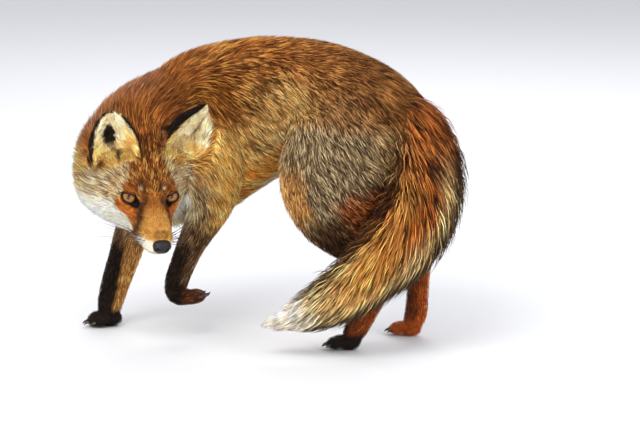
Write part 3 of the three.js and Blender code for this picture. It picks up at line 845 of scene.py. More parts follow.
class Survey:
    """For a set of points with outward directions: nearness to each part, and places within it."""

    def __init__(self, points, normals):
        self.points, self.normals = points, normals
        self.local = to_head(points)
        self.wob, self.fine = rough_noise(points, 46, 3), rough_noise(points, 14, 5)
        self.small, self.tiny = rough_noise(self.local, 7, 22), rough_noise(self.local, 3.2, 23)
        self.side_x, self.side_y, head_rho = head_place(self.local)
        self.find_ears(rise(head_rho, 0.93, 1.04))
        self.at = {name: tube.locate(points) for name, tube in TUBES.items()}
        legs = np.minimum(self.at["fore_left"]["rho"], self.at["fore_right"]["rho"])
        self.head = rise(self.local[:, 0], -92, -66) * fall(head_rho, 1.15, 1.3)
        self.head = self.head * fall(head_rho - legs, -0.02, 0.14)
        self.head = np.maximum(self.head, self.ear > 0.3)
        self.find_paws()
        # near parts count far more than distant ones, and paws and head more than all of them
        weights = {name: (0.3 + p["rho"]) ** -10 for name, p in self.at.items()}
        total = sum(weights.values())
        left = (1 - self.paw, 1 - self.head)
        self.share = {name: w / total * left[0] * left[1] for name, w in weights.items()}

    def find_ears(self, outside_skull):
        """Nearness to an ear and to its foot; then, within the ear, height, offset across, whether on the
        inside, and the distance in from its edge."""
        n, local_normals = len(self.points), self.normals @ AXES.T
        self.ear, self.ear_h, self.ear_across, self.ear_inside = np.zeros((4, n))
        self.ear_foot, self.foot_h, self.foot_across, self.ear_edge = np.zeros((4, n))
        for ear in EARS:
            h, across, forward, near = ear_place(self.local, ear)
            _, _, side, mouth = ear_axes(ear)
            share = near * rise(h, 0.02, 0.16) * outside_skull
            ring = fall(np.hypot(across, np.maximum(-h, 0) / 0.16), 0.75, 1.05)
            foot = ring * rise(forward, -1.2, -0.8) * fall(forward, 0.15, 0.5) * (h < 0.4) * (h > -0.3)
            self.ear_foot = np.maximum(self.ear_foot, foot)
            mine = np.sign(self.local[:, 1]) == ear["side"]
            self.foot_h = np.where(mine, h, self.foot_h)
            self.foot_across = np.where(mine, across * ear["side"], self.foot_across)
            take = share > self.ear
            facing = local_normals @ mouth - 0.55 * np.sign(across) * (local_normals @ side)
            self.ear = np.where(take, share, self.ear)
            self.ear_h = np.where(take, h, self.ear_h)
            self.ear_across = np.where(take, across * ear["side"], self.ear_across)
            half = ear_sizes(ear, np.clip(h, 0, 1))[0]
            beside = np.maximum(half * (1 - np.abs(across)), 0.05)
            above = np.maximum(ear["length"] * (1 - h - (across * half / ear["half_width"]) ** 2), 0.05)
            self.ear_edge = np.where(take, (beside**-2 + above**-2) ** -0.5, self.ear_edge)
            self.ear_inside = np.where(take, rise(facing, -0.1, 0.3), self.ear_inside)

    def find_paws(self):
        """Nearness to the paws and to each, and the place along it in paw lengths."""
        self.paw, self.paw_share, self.paw_along = np.zeros(len(self.points)), {}, {}
        for name, paw in PAWS.items():
            rows, origin = paw_matrix(paw)
            p = (self.points - origin) @ rows.T
            size = paw["size"]
            near = fall(np.hypot(p[:, 0] / size["length"], p[:, 1] / size["width"]), 0.62, 0.8)
            near = near * fall(p[:, 2], size["height"] * 0.8, size["height"] * 1.25) * (p[:, 2] > -8)
            self.paw_share[name] = near
            self.paw_along[name] = p[:, 0] / size["length"]
            self.paw = np.maximum(self.paw, near)

    def sum(self, values):
        """A quantity given for each part, weighted by how near each point is to the part."""
        n = len(self.points)
        return sum(self.share[name][:, None] * np.reshape(v, (n, -1)) for name, v in values.items())


# ------------------------------------------------------------------ the coat's lie, length and depth

# Length of the hair on the head: ahead, length.
HEAD_HAIR = np.array([
    [-110, 34], [-80, 32], [-55, 27], [-30, 19], [-10, 12], [10, 8], [30, 6], [60, 4.5], [80, 3.2]], float)


def coat_lie(s):
    """Direction of the hair along the skin, its length and the coat's depth, at each surveyed point."""
    n = len(s.points)
    down, back = np.array([0, 0, -1.0]), np.array([1.0, 0, 0])
    way, length, depth = {}, {}, {}
    for name, p in s.at.items():
        t, flank = p["t"], np.clip(1 - np.abs(p["out"]), 0, 1)
        depth[name] = p["coat"]
        if name == "trunk":
            way[name] = -p["ahead"] + down * (0.12 + 1.0 * flank)[:, None]
            length[name] = 26 + 6 * rise(t, 0.6, 0.9)
        elif name == "neck":
            way[name] = -p["ahead"] + down * (0.7 * flank)[:, None]
            length[name] = 34 + 0 * t
        elif name == "tail":
            way[name] = p["ahead"]
            length[name] = np.interp(t, [0, 0.15, 0.4, 0.7, 0.85, 1], [30, 38, 48, 50, 42, 24])
        elif name.startswith("hind"):
            way[name] = p["ahead"] + back * (0.75 * fall(t, 0.4, 0.8))[:, None]
            length[name] = np.interp(t, [0, 0.12, 0.35, 0.6, 0.85, 1], [25, 20, 17, 14, 10, 8])
        elif name.startswith("fore"):
            way[name] = p["ahead"] + back * (0.4 * fall(t, 0.3, 0.6))[:, None]
            length[name] = np.interp(t, [0, 0.25, 0.4, 0.6, 1], [30, 26, 19, 12, 8])
        else:
            way[name] = p["ahead"]
            length[name] = 8 + 0 * t
    flow = s.sum(way)
    length, depth = s.sum(length)[:, 0], s.sum(depth)[:, 0]
    rows = np.asarray(HEAD, float)[::-1]
    side, over, under = (np.interp(s.local[:, 0], rows[:, 0], rows[:, k]) for k in (6, 7, 8))
    x, y = s.side_x, s.side_y
    up_share, low_share = np.clip(y, 0, 1) ** 2, np.clip(-y, 0, 1) ** 2
    head_depth = side * (1 - up_share - low_share).clip(0, 1) + over * up_share + under * low_share
    outwards = np.sign(x) * np.abs(x) ** 1.2
    sideways = 0.9 * outwards * rise(-s.local[:, 0], -30, 30)
    upwards = -0.45 * rise(-y, -0.1, 0.7) + 0.12 * rise(y, 0.3, 1)
    head_way = np.stack([-np.ones(n), sideways, upwards], -1)
    head_length = np.interp(s.local[:, 0], *HEAD_HAIR.T)
    head_length = head_length * mix(1.0, 0.55, up_share) * (1 - 0.6 * s.ear_foot)
    head_depth = head_depth * (1 - 0.5 * s.ear_foot)
    flow = flow + s.head[:, None] * (head_way @ AXES)
    length = length + s.head * head_length
    depth = depth + s.head * head_depth
    for name, paw in PAWS.items():
        rows, _ = paw_matrix(paw)
        flow = flow + s.paw_share[name][:, None] * (np.array([1.0, 0, -0.35]) @ rows)
    length = length * (1 - s.paw) + s.paw * (5.5 + 4.5 * s.paw_share["fore_left"])
    depth = depth * (1 - s.paw) + s.paw * PAW_COAT
    for ear in EARS:
        _, up, across, _ = ear_axes(ear)
        mine = s.ear * (np.sign(s.local[:, 1]) == ear["side"])
        inwards = -(s.ear_across * ear["side"] * s.ear_inside * 0.8)[:, None] * across
        flow = mix(flow, (up + inwards) @ AXES, mine)
    fringe = s.ear_inside * rise(np.abs(s.ear_across), 0.45, 0.9)
    length = mix(length, mix(6.5, 9.0 + 9.0 * fringe, s.ear_inside), s.ear)
    depth = mix(depth, mix(1.3, 2.2 + 3.5 * fringe * fall(s.ear_h, 0.6, 0.95), s.ear_inside), s.ear)
    flow = flow - s.normals * (flow * s.normals).sum(1, keepdims=True)
    return unit(flow), length, depth


# ------------------------------------------------------------------ markings


def shade(r, g, b):
    """A display colour, 0 to 255, as light (linear)."""
    c = np.array([r, g, b], float) / 255
    return np.where(c < 0.04045, c / 12.92, ((c + 0.055) / 1.055) ** 2.4)


def trio(dark, middle, light):
    """The colours of a patch's dark, middle and light hairs."""
    return np.array([shade(*dark), shade(*middle), shade(*light)])


RUST_BACK = trio((76, 36, 11), (152, 90, 42), (198, 136, 76))
DARK_BACK = trio((62, 32, 12), (108, 66, 34), (150, 104, 62))
UPPER_FLANK = trio((60, 34, 14), (128, 84, 44), (188, 142, 90))
TAN_FLANK = trio((112, 72, 36), (166, 121, 74), (206, 166, 114))
MID_FLANK = trio((134, 92, 50), (186, 142, 88), (222, 184, 130))
GOLD_SHOULDER = trio((66, 30, 6), (112, 62, 22), (160, 104, 46))
LOW_SHOULDER = trio((160, 108, 50), (220, 164, 90), (240, 196, 128))
GRIZZLE = trio((60, 43, 32), (134, 113, 91), (182, 164, 142))
BELLY_ORANGE = trio((168, 88, 30), (232, 146, 62), (246, 188, 108))
THIGH_DARK = trio((30, 15, 7), (62, 40, 25), (98, 70, 50))
THIGH_RUST = trio((76, 26, 4), (140, 64, 18), (176, 96, 36))
RUMP_PALE = trio((74, 50, 24), (136, 106, 72), (196, 166, 124))
RUMP_TOP = trio((84, 34, 6), (128, 70, 28), (164, 112, 60))
TAIL_RUST = trio((34, 14, 5), (122, 58, 18), (170, 96, 38))
TAIL_GOLD = trio((64, 34, 14), (178, 122, 60), (214, 166, 100))
TAIL_CREAM = trio((48, 30, 20), (206, 174, 128), (228, 200, 156))
TAIL_TIP = trio((186, 176, 172), (214, 207, 210), (236, 232, 236))
TAIL_DARK = trio((20, 9, 6), (50, 27, 17), (88, 56, 36))
NECK_RUST = trio((100, 48, 14), (136, 78, 34), (168, 108, 56))
RUFF_CREAM = trio((172, 120, 60), (218, 174, 108), (238, 206, 148))
NECK_GREY = trio((82, 58, 38), (138, 109, 79), (188, 164, 132))
NECK_GOLD = trio((126, 80, 32), (180, 128, 62), (210, 164, 98))
FOREHEAD = trio((66, 28, 6), (130, 70, 24), (198, 142, 80))
CROWN = trio((56, 24, 8), (98, 52, 22), (136, 86, 44))
EAR_GOLD = trio((140, 98, 40), (180, 138, 74), (208, 172, 112))
BROW_RUST = trio((84, 34, 6), (136, 70, 22), (170, 102, 44))
EYE_RUST = trio((140, 64, 18), (184, 98, 36), (210, 134, 68))
BRIDGE_RUST = trio((130, 72, 26), (166, 102, 46), (190, 128, 66))
BRIDGE = trio((160, 106, 48), (196, 144, 76), (214, 168, 104))
CHEEK_GREY = trio((116, 80, 52), (206, 180, 148), (242, 226, 202))
WHITE = trio((200, 188, 180), (246, 238, 236), (254, 250, 250))
EAR_CREAM = trio((160, 132, 98), (232, 208, 176), (248, 234, 212))
EAR_YELLOW = trio((186, 134, 64), (232, 188, 112), (246, 214, 148))
# grey painted shade for the hollow of the left ear
EAR_HOLLOW_SHADE = trio((70, 60, 48), (110, 98, 80), (150, 136, 112))
CREASE = trio((34, 14, 6), (62, 30, 14), (92, 52, 28))
MUZZLE_GREY = trio((30, 16, 10), (64, 38, 26), (106, 70, 50))
BLACK = trio((8, 4, 2), (20, 12, 8), (36, 24, 17))
LEG_BLACK = trio((10, 6, 3), (26, 16, 10), (50, 34, 22))
LEG_TAN = trio((130, 82, 36), (186, 132, 76), (216, 166, 108))
LEG_BROWN = trio((56, 34, 20), (88, 62, 42), (128, 100, 76))
PAW_BROWN = trio((40, 17, 8), (78, 40, 21), (112, 70, 42))
HIND_ORANGE = trio((124, 48, 10), (168, 78, 24), (196, 110, 42))
CHEST_WHITE = trio((170, 150, 122), (204, 186, 162), (228, 214, 196))
SKIN_BLACK = trio((8, 5, 4), (14, 9, 8), (24, 17, 15))

# Lines on the face (ahead, side, up): from the eye's inner corner down the muzzle, the brow's crease,
# the stripe behind the eye, and, seen from the side, where the coloured mask ends and the white begins.
TEAR_LINE = np.array([
    [18, 19, 1], [22, 21, -3], [27, 22, -8], [33, 24, -16], [36, 26, -24], [34, 28, -35]], float)
BROW_CREASE = np.array([[-6, 13, 22], [4, 12.5, 16], [10, 12, 12], [17, 13, 4]], float)
EYE_STRIPE = np.array([[-4, 42, 2], [-10, 50, 3], [-18, 58, 2]], float)
LIP_SPOT = np.array([[34, 28, -38], [28, 29, -40]], float)
WHITE_LINE = np.array([
    [-110, -62], [-80, -46], [-60, -34], [-33, -24], [-12, -13], [-3, -20.5], [7, -24.5], [17, -27],
    [26, -31], [31, -37], [40, -38], [46, -33], [53, -27.5], [64, -24], [72, -21], [76, -20],
    [85, -14]], float)


def paint(layers, count):
    """Colour trios laid over each other in order, each by its own share at each point."""
    result = np.zeros((count, 3, 3))
    for colours, share in layers:
        result = result + (colours - result) * np.broadcast_to(share, (count,))[:, None, None]
    return result


def trunk_marks(s):
    """Rust back, tan flank, gold shoulder, orange belly, white chest. Here and below, t runs from 0 to 1
    as the stations do, and up from -1 on the belly to 1 on the back; noises make the edges uneven."""
    n, trunk = len(s.points), s.at["trunk"]
    t, up = trunk["t"], trunk["out"] + 0.14 * s.wob + 0.07 * s.fine
    return paint([
        (MID_FLANK, 1.0),
        (UPPER_FLANK, rise(up, -0.1, 0.3)),
        (TAN_FLANK, bump(t, 0.47, 0.08) * bump(up, 0.12, 0.38)),
        (RUST_BACK, rise(up, 0.35, 0.75)),
        (DARK_BACK, fall(t, 0.32, 0.44) * rise(up, -0.2, 0.15)),
        (DARK_BACK, fall(t, 0.42, 0.56) * rise(up, 0.4, 0.7) * 0.5),
        (GOLD_SHOULDER, bump(t, 0.62, 0.07) * rise(up, -0.3, 0.1) * fall(up, 0.5, 0.8)),
        (LOW_SHOULDER, rise(t, 0.56, 0.7) * fall(up, -0.25, 0.05)),
        (NECK_GOLD, rise(t, 0.7, 0.8) * fall(up, 0.1, 0.5)),
        (NECK_RUST, rise(t, 0.58, 0.72) * rise(up, 0.55, 0.85)),
        (BELLY_ORANGE, fall(up, -0.85, -0.5) * fall(t, 0.6, 0.75)),
        (CHEST_WHITE, fall(up, -1.02, -0.94) * fall(t, 0.55, 0.7)),
        (RUMP_TOP, fall(t, 0.08, 0.24) * rise(up, 0.2, 0.6)),
        (RUMP_PALE, fall(t, 0.16, 0.28) * fall(up, 0.05, 0.35)),
        (NECK_GREY, rise(t, 0.74, 0.86) * fall(up, -0.35, 0.0)),
        (CHEST_WHITE, rise(t, 0.84, 0.93) * fall(up, -0.8, -0.45)),
    ], n)


def neck_marks(s):
    """Gold sides, a rust nape, a grey and white throat, and a cream ruff on the right."""
    n, neck = len(s.points), s.at["neck"]
    t, up = neck["t"], neck["out"] + 0.1 * s.wob + 0.05 * s.fine
    right = rise(neck["across"], 0.1, 0.7)
    return paint([
        (NECK_GOLD, 1.0),
        (NECK_RUST, rise(up, 0.25, 0.6)),
        (NECK_GREY, fall(up, -0.4, -0.05)),
        (RUFF_CREAM, right * fall(up, 0.2, 0.6) * rise(t, 0.45, 0.75)),
        (CHEST_WHITE, fall(up, -0.95, -0.6)),
    ], n)


def tail_marks(s):
    """A rust root, gold and cream brush and white end, with dark hair along the edges seen from the side;
    also where hair is darker for it, and how banded the hair is."""
    n, tail = len(s.points), s.at["tail"]
    t, inner = tail["t"] + 0.03 * s.wob, tail["across"] + 0.25 * s.wob + 0.15 * s.fine
    brush = paint([
        (TAIL_RUST, 1.0),
        (TAIL_DARK, fall(t, 0.2, 0.38) * 0.4),
        (TAIL_GOLD, rise(t, 0.42, 0.60) * (0.85 + 0.3 * s.fine)),
        (TAIL_DARK, rise(inner, 0.75, 1.05) * fall(t, 0.34, 0.46) * rise(t, 0.12, 0.2) * 0.6),
        (TAIL_GOLD, bump(inner, 0.55, 0.35) * bump(t, 0.42, 0.12) * 0.8),
        (TAIL_CREAM, fall(inner, -0.85, -0.15) * rise(t, 0.22, 0.34)),
        (TAIL_CREAM, rise(inner, 0.3, 0.8) * rise(t, 0.55, 0.65) * 0.5),
        (TAIL_DARK, rise(rough_noise(s.points, 16, 41), 0.25, 0.5) * fall(t, 0.45, 0.6) * 0.7),
        (TAIL_CREAM, rise(t, 0.62, 0.76) * 0.9),
        (TAIL_TIP, rise(t, 0.74, 0.87)),
    ], n)
    out_edge = -tail["across"] / np.maximum(np.hypot(tail["across"], tail["out"]), 1e-6)
    lower = rise(out_edge, 0.5, 0.95) * rise(tail["t"], 0.1, 0.3) * fall(tail["t"], 0.88, 0.99)
    upper = rise(-out_edge, 0.6, 0.95) * rise(tail["t"], 0.2, 0.4) * fall(tail["t"], 0.8, 0.92)
    brush = brush + (TAIL_DARK - brush) * (0.75 * lower * fall(tail["t"], 0.8, 0.92))[:, None, None]
    dark_edge = s.share["tail"] * (np.maximum(lower, upper) - 0.3 * rise(tail["t"], 0.8, 0.9))
    banded = 0.25 + 0.75 * rise(out_edge, -0.3, 0.6) * s.share["tail"]
    return brush, dark_edge, banded


def hind_marks(s, name):
    """A grizzled thigh, pale behind, orange within, dark towards the hock. front is 1 facing ahead."""
    n, leg = len(s.points), s.at[name]
    t, front, outer = leg["t"] + 0.025 * s.wob, leg["front"] + 0.2 * s.fine, leg["out"]
    return paint([
        (GRIZZLE, 1.0),
        (DARK_BACK, fall(t, 0.05, 0.16) * 0.75),
        (RUMP_PALE, rise(-front, 0.6, 0.95) * fall(t, 0.25, 0.4)),
        (BELLY_ORANGE, fall(outer, -0.4, 0.2)),
        (LEG_TAN, rise(front, 0.75, 0.95) * rise(t, 0.3, 0.42)),
        (THIGH_RUST, rise(t + 0.04 * s.fine, 0.40, 0.53) * fall(front, -0.3, 0.5) * 0.9),
        (THIGH_DARK,
         rise(t + 0.04 * s.fine, 0.45, 0.57) * rise(front, -0.4, 0.4) * fall(front, 0.86, 0.97)),
        (THIGH_DARK, rise(t, 0.50, 0.60) * fall(front, 0.86, 0.97) * 0.6),
        (HIND_ORANGE, rise(t, 0.66, 0.76) * (1 - 0.75 * rise(front, 0.1, 0.5))),
    ], n)


def foot_marks(s, name):
    """Orange hocks with a black front, more of it on the left; the left hock's brown wash and wider black
    are partly its own colour and partly painted shade under the tail.
    """
    n = len(s.points)
    front = s.at[name]["front"] + 0.25 * s.fine
    # on the left hock, more black and a brown wash: partly its own colour, partly painted shade under the
    # tail
    share = rise(front, 0.3, 0.75) * (0.95 if name == "foot_left" else 0.75)
    return paint([
        (HIND_ORANGE, 1.0),
        (PAW_BROWN, 0.45 if name == "foot_left" else 0.8 * bump(front, 0.2, 0.25)),
        (LEG_BLACK, share),
    ], n)


def fore_marks(s, name):
    """Gold and grey above; from the elbow down, black in front and brown behind."""
    n, leg = len(s.points), s.at[name]
    t, front = leg["t"] + 0.02 * s.wob, leg["front"] + 0.25 * s.fine
    back_edge = -0.05 if name == "fore_left" else 0.05
    back_edge = back_edge - 0.45 * rise(t, 0.7, 0.85)
    return paint([
        (LOW_SHOULDER, 1.0),
        (NECK_GOLD, fall(t, 0.2, 0.3) * rise(front, -0.7, 0.1)),
        (GOLD_SHOULDER, fall(t, 0.10, 0.20)),
        (NECK_GREY, rise(t, 0.24, 0.34) * rise(front, -0.6, 0.1)),
        (LEG_BROWN if name == "fore_left" else LEG_TAN, rise(t, 0.46, 0.56)),
        (LEG_BROWN, rise(t, 0.44, 0.54) * rise(front, 0.3, 0.8)),
        (CHEST_WHITE,
         bump(t, 0.49, 0.05) * rise(front, 0.3, 0.8) * (0.6 if name == "fore_left" else 0)),
        (LEG_BLACK, rise(t, 0.56, 0.69) * rise(front, back_edge - 0.25, back_edge + 0.2)),
    ], n)


def face_marks(s):
    """A rust forehead and bridge, grey cheeks, dark lines from the eyes, and white below a line along
    the side of the head; also each point's height above that line."""
    n = len(s.points)
    f, l, u = s.local.T
    side = np.abs(l)
    folded = np.stack([f, side, u], -1)
    speck, small, tiny = rough_noise(s.local, 18, 21), s.small, s.tiny
    below = u - np.interp(f, *WHITE_LINE.T) + 2.0 * speck + 1.2 * small + 12 * rise(-f, 0, 20) * (l > 0)
    tear = np.maximum(from_line(folded, TEAR_LINE)[0] - 1.5, 0) + 1.2 * small
    crease = np.maximum(from_line(folded, BROW_CREASE)[0] - 1.5, 0) + 0.8 * small
    stripe = from_line(folded, EYE_STRIPE)[0] + 0.5 * small
    lip_spot = from_line(folded, LIP_SPOT)[0] + 1.2 * small
    mouth, along_mouth = from_line(folded, MOUTH)
    brow_gap = np.linalg.norm((folded - [-5, 30, 13]) * [0.9, 0.62, 1.0], axis=1) + 3 * speck
    under_gap = np.linalg.norm((folded - [6, 36, -12]) * [0.6, 0.9, 1.0], axis=1) + 2 * speck
    pale_spot = np.linalg.norm(folded - [0, 17.5, 16], axis=1)
    outer = rise(side + 0.35 * np.clip(-f - 20, -30, 25), 26, 40)
    face = paint([
        (FOREHEAD, 1.0),
        (CROWN, rise(-f, 50, 72) * fall(side, 20, 34)),
        (CROWN, bump(side, 0, 5) * rise(-f, 4, 24) * 0.6),
        (CHEEK_GREY, outer * fall(f, -12, -2) * (0.8 + 0.2 * speck)),
        (EAR_GOLD, rise(side, 30, 44) * rise(-f, 34, 50) * rise(u, 8, 20)),
        (BRIDGE_RUST, rise(f, 0, 14) * fall(side, 15, 24)),
        (BROW_RUST, fall(brow_gap, 6, 14) * 0.9),
        (EYE_RUST, fall(under_gap, 9, 17) * rise(below, -2, 4)),
        (EYE_RUST, rise(side, 13, 19) * rise(f, 8, 18) * fall(f, 30, 40) * 0.8),
        (BRIDGE, rise(f, 22, 42) * fall(tear, 5, 1)),
        (FOREHEAD, np.clip(tiny - 0.25, 0, 0.5) * rise(f, 5, 25) * fall(f, 60, 76)),
        (CREASE, bump(crease, 0, 3.0) * 0.8),
        (CREASE, bump(pale_spot, 4.2, 1.8) * rise(u, 12, 18) * 0.8),
        (CHEEK_GREY, bump(pale_spot, 0, 3.0)),
        (CREASE, bump(stripe, 0, 1.8) * 0.7),
        (MUZZLE_GREY, bump(tear, 0, 6.5) * 0.9),
        (CREASE, bump(tear, 0, 2.6) * fall(f, 24, 30) * 0.8),
        (CREASE, bump(np.linalg.norm(folded - [69, 4, -13], axis=1), 4, 4) * 0.6),
        (WHITE, fall(below / (1 + 4 * rise(side, 36, 62)), -2.5, 2.0)),
        (RUFF_CREAM, rise(-f, 64, 84) * rise(below, -20, 4) * rise(side, 60, 80)),
        (RUFF_CREAM, rise(-f, 58, 76) * rise(below, 0, 20) * rise(side, 60, 74)),
        (BLACK, fall(lip_spot, 2.5, 5.0) * 0.95),
        (BLACK,
         bump(mouth, 0, 1.2 + 1.0 * along_mouth) * (0.55 + 0.4 * rise(along_mouth, 0.6, 0.9))),
        (MUZZLE_GREY, bump(mouth, 0, 3.0) * 0.35),
    ], n)
    return face, below


def eye_rim(s):
    """How black the skin is: 1 next to a slit between lids, more towards its corners."""
    n = len(s.points)
    lid_black = np.zeros(n)
    for k in (-1, 1):
        x, y, z, outside = lid_gap(s.local, k)
        wide = 1.2 + 3.4 * rise(-x, 4, 12) + 1.3 * rise(-y, 1, 5)
        rim = fall(outside, wide - 0.7, wide + 0.9) * (z > -4) * (np.hypot(x, y) < 22)
        lid_black = np.maximum(lid_black, rim)
    return lid_black


def ear_marks(s):
    """Painted shade in the hollow, black in the right ear and grey in the left, cream hair round it, yellow
    at the foot, and black round the rim and behind.
    """
    n = len(s.points)
    is_left = s.local[:, 1] > 0
    is_right = ~is_left
    h, ac = s.ear_h, s.ear_across + 0.05 * s.fine
    # the hollows' dark is painted shade in the ear's recess: black in the right ear, grey in the left
    hollow_middle = np.interp(h, [0.0, 0.12, 0.19, 0.46, 0.7], [-0.18, -0.10, 0.04, 0.17, 0.15])
    hollow_width = 0.15 + 0.20 * bump(h, 0.47, 0.2) + 0.18 * s.small + 0.16 * s.tiny
    right_hollow_shade = fall(np.abs(ac - hollow_middle), hollow_width * 0.55, hollow_width)
    right_hollow_shade = right_hollow_shade * fall(h + 0.06 * s.small, 0.68, 0.78) * (0.6 + 0.4 * rise(h, 0.2, 0.35))
    left_hollow_shade = bump(ac - 0.49, 0, 0.10) * rise(h, 0.28, 0.45) * fall(h, 0.66, 0.85) * 0.85
    left_hollow_shade = np.maximum(left_hollow_shade, bump(ac - 0.2, 0, 0.25) * bump(h, 0.15, 0.12) * 0.6)
    inside = paint([
        (EAR_CREAM, 1.0),
        (EAR_YELLOW, fall(h + 0.06 * s.fine, 0.2, 0.5) * (0.45 + 0.5 * rise(np.abs(ac), 0.15, 0.6))),
        (EAR_YELLOW, rise(-ac, 0.35, 0.7) * fall(h, 0.5, 0.65) * 0.9),
        (BROW_RUST, bump(ac, -0.62, 0.16) * bump(h, 0.3, 0.12) * 0.5),
        (CROWN, rise(-ac, 0.7, 0.85) * fall(h, 0.06, 0.12)),
        (EAR_HOLLOW_SHADE, left_hollow_shade * is_left),
        (BLACK, right_hollow_shade * is_right),
    ], n)
    thick = 2.4 + 1.6 * rise(ac, 0.3, 0.8) * fall(h, 0.3, 0.8) - 1.2 * rise(-ac, 0.2, 0.6)
    edge = fall(s.ear_edge, thick - 0.6, thick + 0.6) * is_right * rise(h, 0.02, 0.12)
    lower_edge = np.interp(h, [0.0, 0.37, 0.6, 0.78, 0.95], [0.99, 0.93, 0.86, 0.50, 0.50])
    band = rise(-ac - lower_edge, -0.03, 0.03) * rise(h, 0.02, 0.12) * is_left
    inside = inside + (BLACK - inside) * np.clip(edge + band, 0, 1)[:, None, None]
    outside = paint([(NECK_RUST, 1.0), (BLACK, rise(h + 0.05 * s.fine, 0.12, 0.26))], n)
    return outside + (inside - outside) * s.ear_inside[:, None, None]


def ear_foot_marks(s):
    """Where the head's own coat covers an ear's foot: yellow, dark on the inner side."""
    n = len(s.points)
    is_left = s.local[:, 1] > 0
    is_right = ~is_left
    return paint([
        (EAR_YELLOW, 1.0),
        (CROWN, rise(-s.foot_across, 0.65 - 0.25 * is_left, 0.9 - 0.25 * is_left)),
        (BROW_RUST, bump(s.foot_across, 0.6, 0.25) * bump(s.foot_h, -0.02, 0.06) * is_right),
        (BROW_RUST, bump(s.foot_across, 0.45, 0.3) * bump(s.foot_h, 0.03, 0.06) * is_left * 0.7),
        # the black line up the right ear's foot carries on the painted shade of its hollow
        (BLACK,
         bump(s.foot_across + 0.12, 0, 0.11 + 0.08 * s.small) * rise(s.foot_h, 0, 0.08) * is_right * 0.95),
    ], n)


# Each paw's own colour.
PAW_MARKS = {
    "fore_right": LEG_BLACK, "fore_left": PAW_BROWN, "hind_left": LEG_BLACK, "hind_right": HIND_ORANGE,
}


def markings(s):
    """The fox's pattern at each surveyed point: the dark, middle and light hair colours, what share of
    the hairs is dark or light, how black the eye's rim is and how banded the hair."""
    n = len(s.points)
    brush, dark_edge, banded = tail_marks(s)
    parts = {"trunk": trunk_marks(s), "neck": neck_marks(s), "tail": brush}
    for kind, marks in (("hind", hind_marks), ("foot", foot_marks), ("fore", fore_marks)):
        for name in (kind + "_left", kind + "_right"):
            parts[name] = marks(s, name)
    colours = sum(s.share[name][:, None, None] * parts[name] for name in parts)
    grizzled = sum(s.share[name] * fall(s.at[name]["t"], 0.45, 0.6) for name in ("hind_left", "hind_right"))
    face, below = face_marks(s)
    lid_black = eye_rim(s)
    at_foot = s.ear_foot * (1 - s.ear)
    face = face + (ear_marks(s) - face) * s.ear[:, None, None]
    face = face + (ear_foot_marks(s) - face) * at_foot[:, None, None]
    face = face + (SKIN_BLACK - face) * lid_black[:, None, None]
    colours = colours + face * s.head[:, None, None]
    for name, own in PAW_MARKS.items():
        behind = fall(s.paw_along[name] + 0.12 * s.wob, -0.22, 0.05) * (name == "fore_left")
        pattern = paint([(own, 1.0), (LEG_BLACK, behind)], n)
        colours = colours + pattern * s.paw_share[name][:, None, None]
    plain = s.head * np.clip(fall(below, -4, 3) + s.ear * s.ear_inside, 0, 1)
    dark = 0.30 + 0.08 * grizzled - 0.15 * plain
    light = 0.30 + 0.04 * grizzled + 0.06 * s.head
    plain_ear = s.head * s.ear
    dark = dark * (1 - 0.35 * plain_ear) + 0.75 * dark_edge
    light = light * (1 - 0.3 * plain_ear)
    return colours, dark, light, lid_black, banded


survey = Survey(skin_points, skin_normals)
skin_flow, skin_length, skin_depth = coat_lie(survey)
skin_colours, _, _, lid_black, _ = markings(survey)
edges = edges_of(skin_faces)
FLOW_ROUNDS = 10
for _ in range(FLOW_ROUNDS):
    skin_flow = unit(neighbour_mean(skin_flow, edges, len(skin_points)) + skin_flow)
skin_flow = unit(skin_flow - skin_normals * (skin_flow * skin_normals).sum(1, keepdims=True))

# ------------------------------------------------------------------ materials


class Value:
    """A shader value: a socket, with the sums that numbers have. Each sum adds one Math node."""

    def __init__(self, tree, socket):
        self.tree, self.socket = tree, socket

    def math(self, operation, *others):
        """One Math node; each of the others is a number or a value."""
        node = self.tree.nodes.new("ShaderNodeMath")
        node.operation = operation
        for slot, other in zip(node.inputs, others):
            self.tree.feed(slot, other)
        return Value(self.tree, node.outputs[0])

    def __add__(self, other):
        return self.math("ADD", self, other)

    def __mul__(self, other):
        return self.math("MULTIPLY", self, other)

    __radd__, __rmul__ = __add__, __mul__


class Finish:
    """One material: node() adds a node by type, with settings first and then its sockets."""

    def __init__(self, name, **constants):
        self.material = bpy.data.materials.new(name)
        self.material.use_nodes = True
        self.nodes, self.links = self.material.node_tree.nodes, self.material.node_tree.links
        self.nodes.clear()
        self.shader = self.nodes.new("ShaderNodeBsdfPrincipled")
        output = self.nodes.new("ShaderNodeOutputMaterial")
        self.links.new(self.shader.outputs[0], output.inputs["Surface"])
        for key, value in constants.items():
            self.shader.inputs[key.replace("_", " ")].default_value = value

    def feed(self, slot, value):
        """Links a value to a socket, or sets the socket's own number or colour."""
        if isinstance(value, Value):
            self.links.new(value.socket, slot)
        elif isinstance(value, bpy.types.NodeSocket):
            self.links.new(value, slot)
        else:
            slot.default_value = value

    def node(self, kind, settings=None, output=0, **sockets):
        """A node by type, its settings, and what its sockets are fed; gives one of its outputs."""
        node = self.nodes.new("ShaderNode" + kind)
        for key, value in (settings or {}).items():
            setattr(node, key, value)
        for key, value in sockets.items():
            self.feed(node.inputs[key.replace("_", " ")], value)
        return Value(self, node.outputs[output])

    def set(self, **sockets):
        """Feeds the shader's own sockets and gives the finished material."""
        for key, value in sockets.items():
            self.feed(self.shader.inputs[key.replace("_", " ")], value)
        return self.material

    def place(self):
        """Where on the piece, in its own coordinates."""
        return self.node("TexCoord", output="Object")

    def noise(self, scale, detail):
        """Fractal noise over the piece's own coordinates, about 0 to 1."""
        return self.node("TexNoise", Vector=self.place(), Scale=scale, Detail=detail, Roughness=0.5)

    def tint(self, colour, factor):
        """A colour times a varying factor, by Vector Math."""
        return self.node("VectorMath", {"operation": "SCALE"}, Vector=colour, Scale=factor)


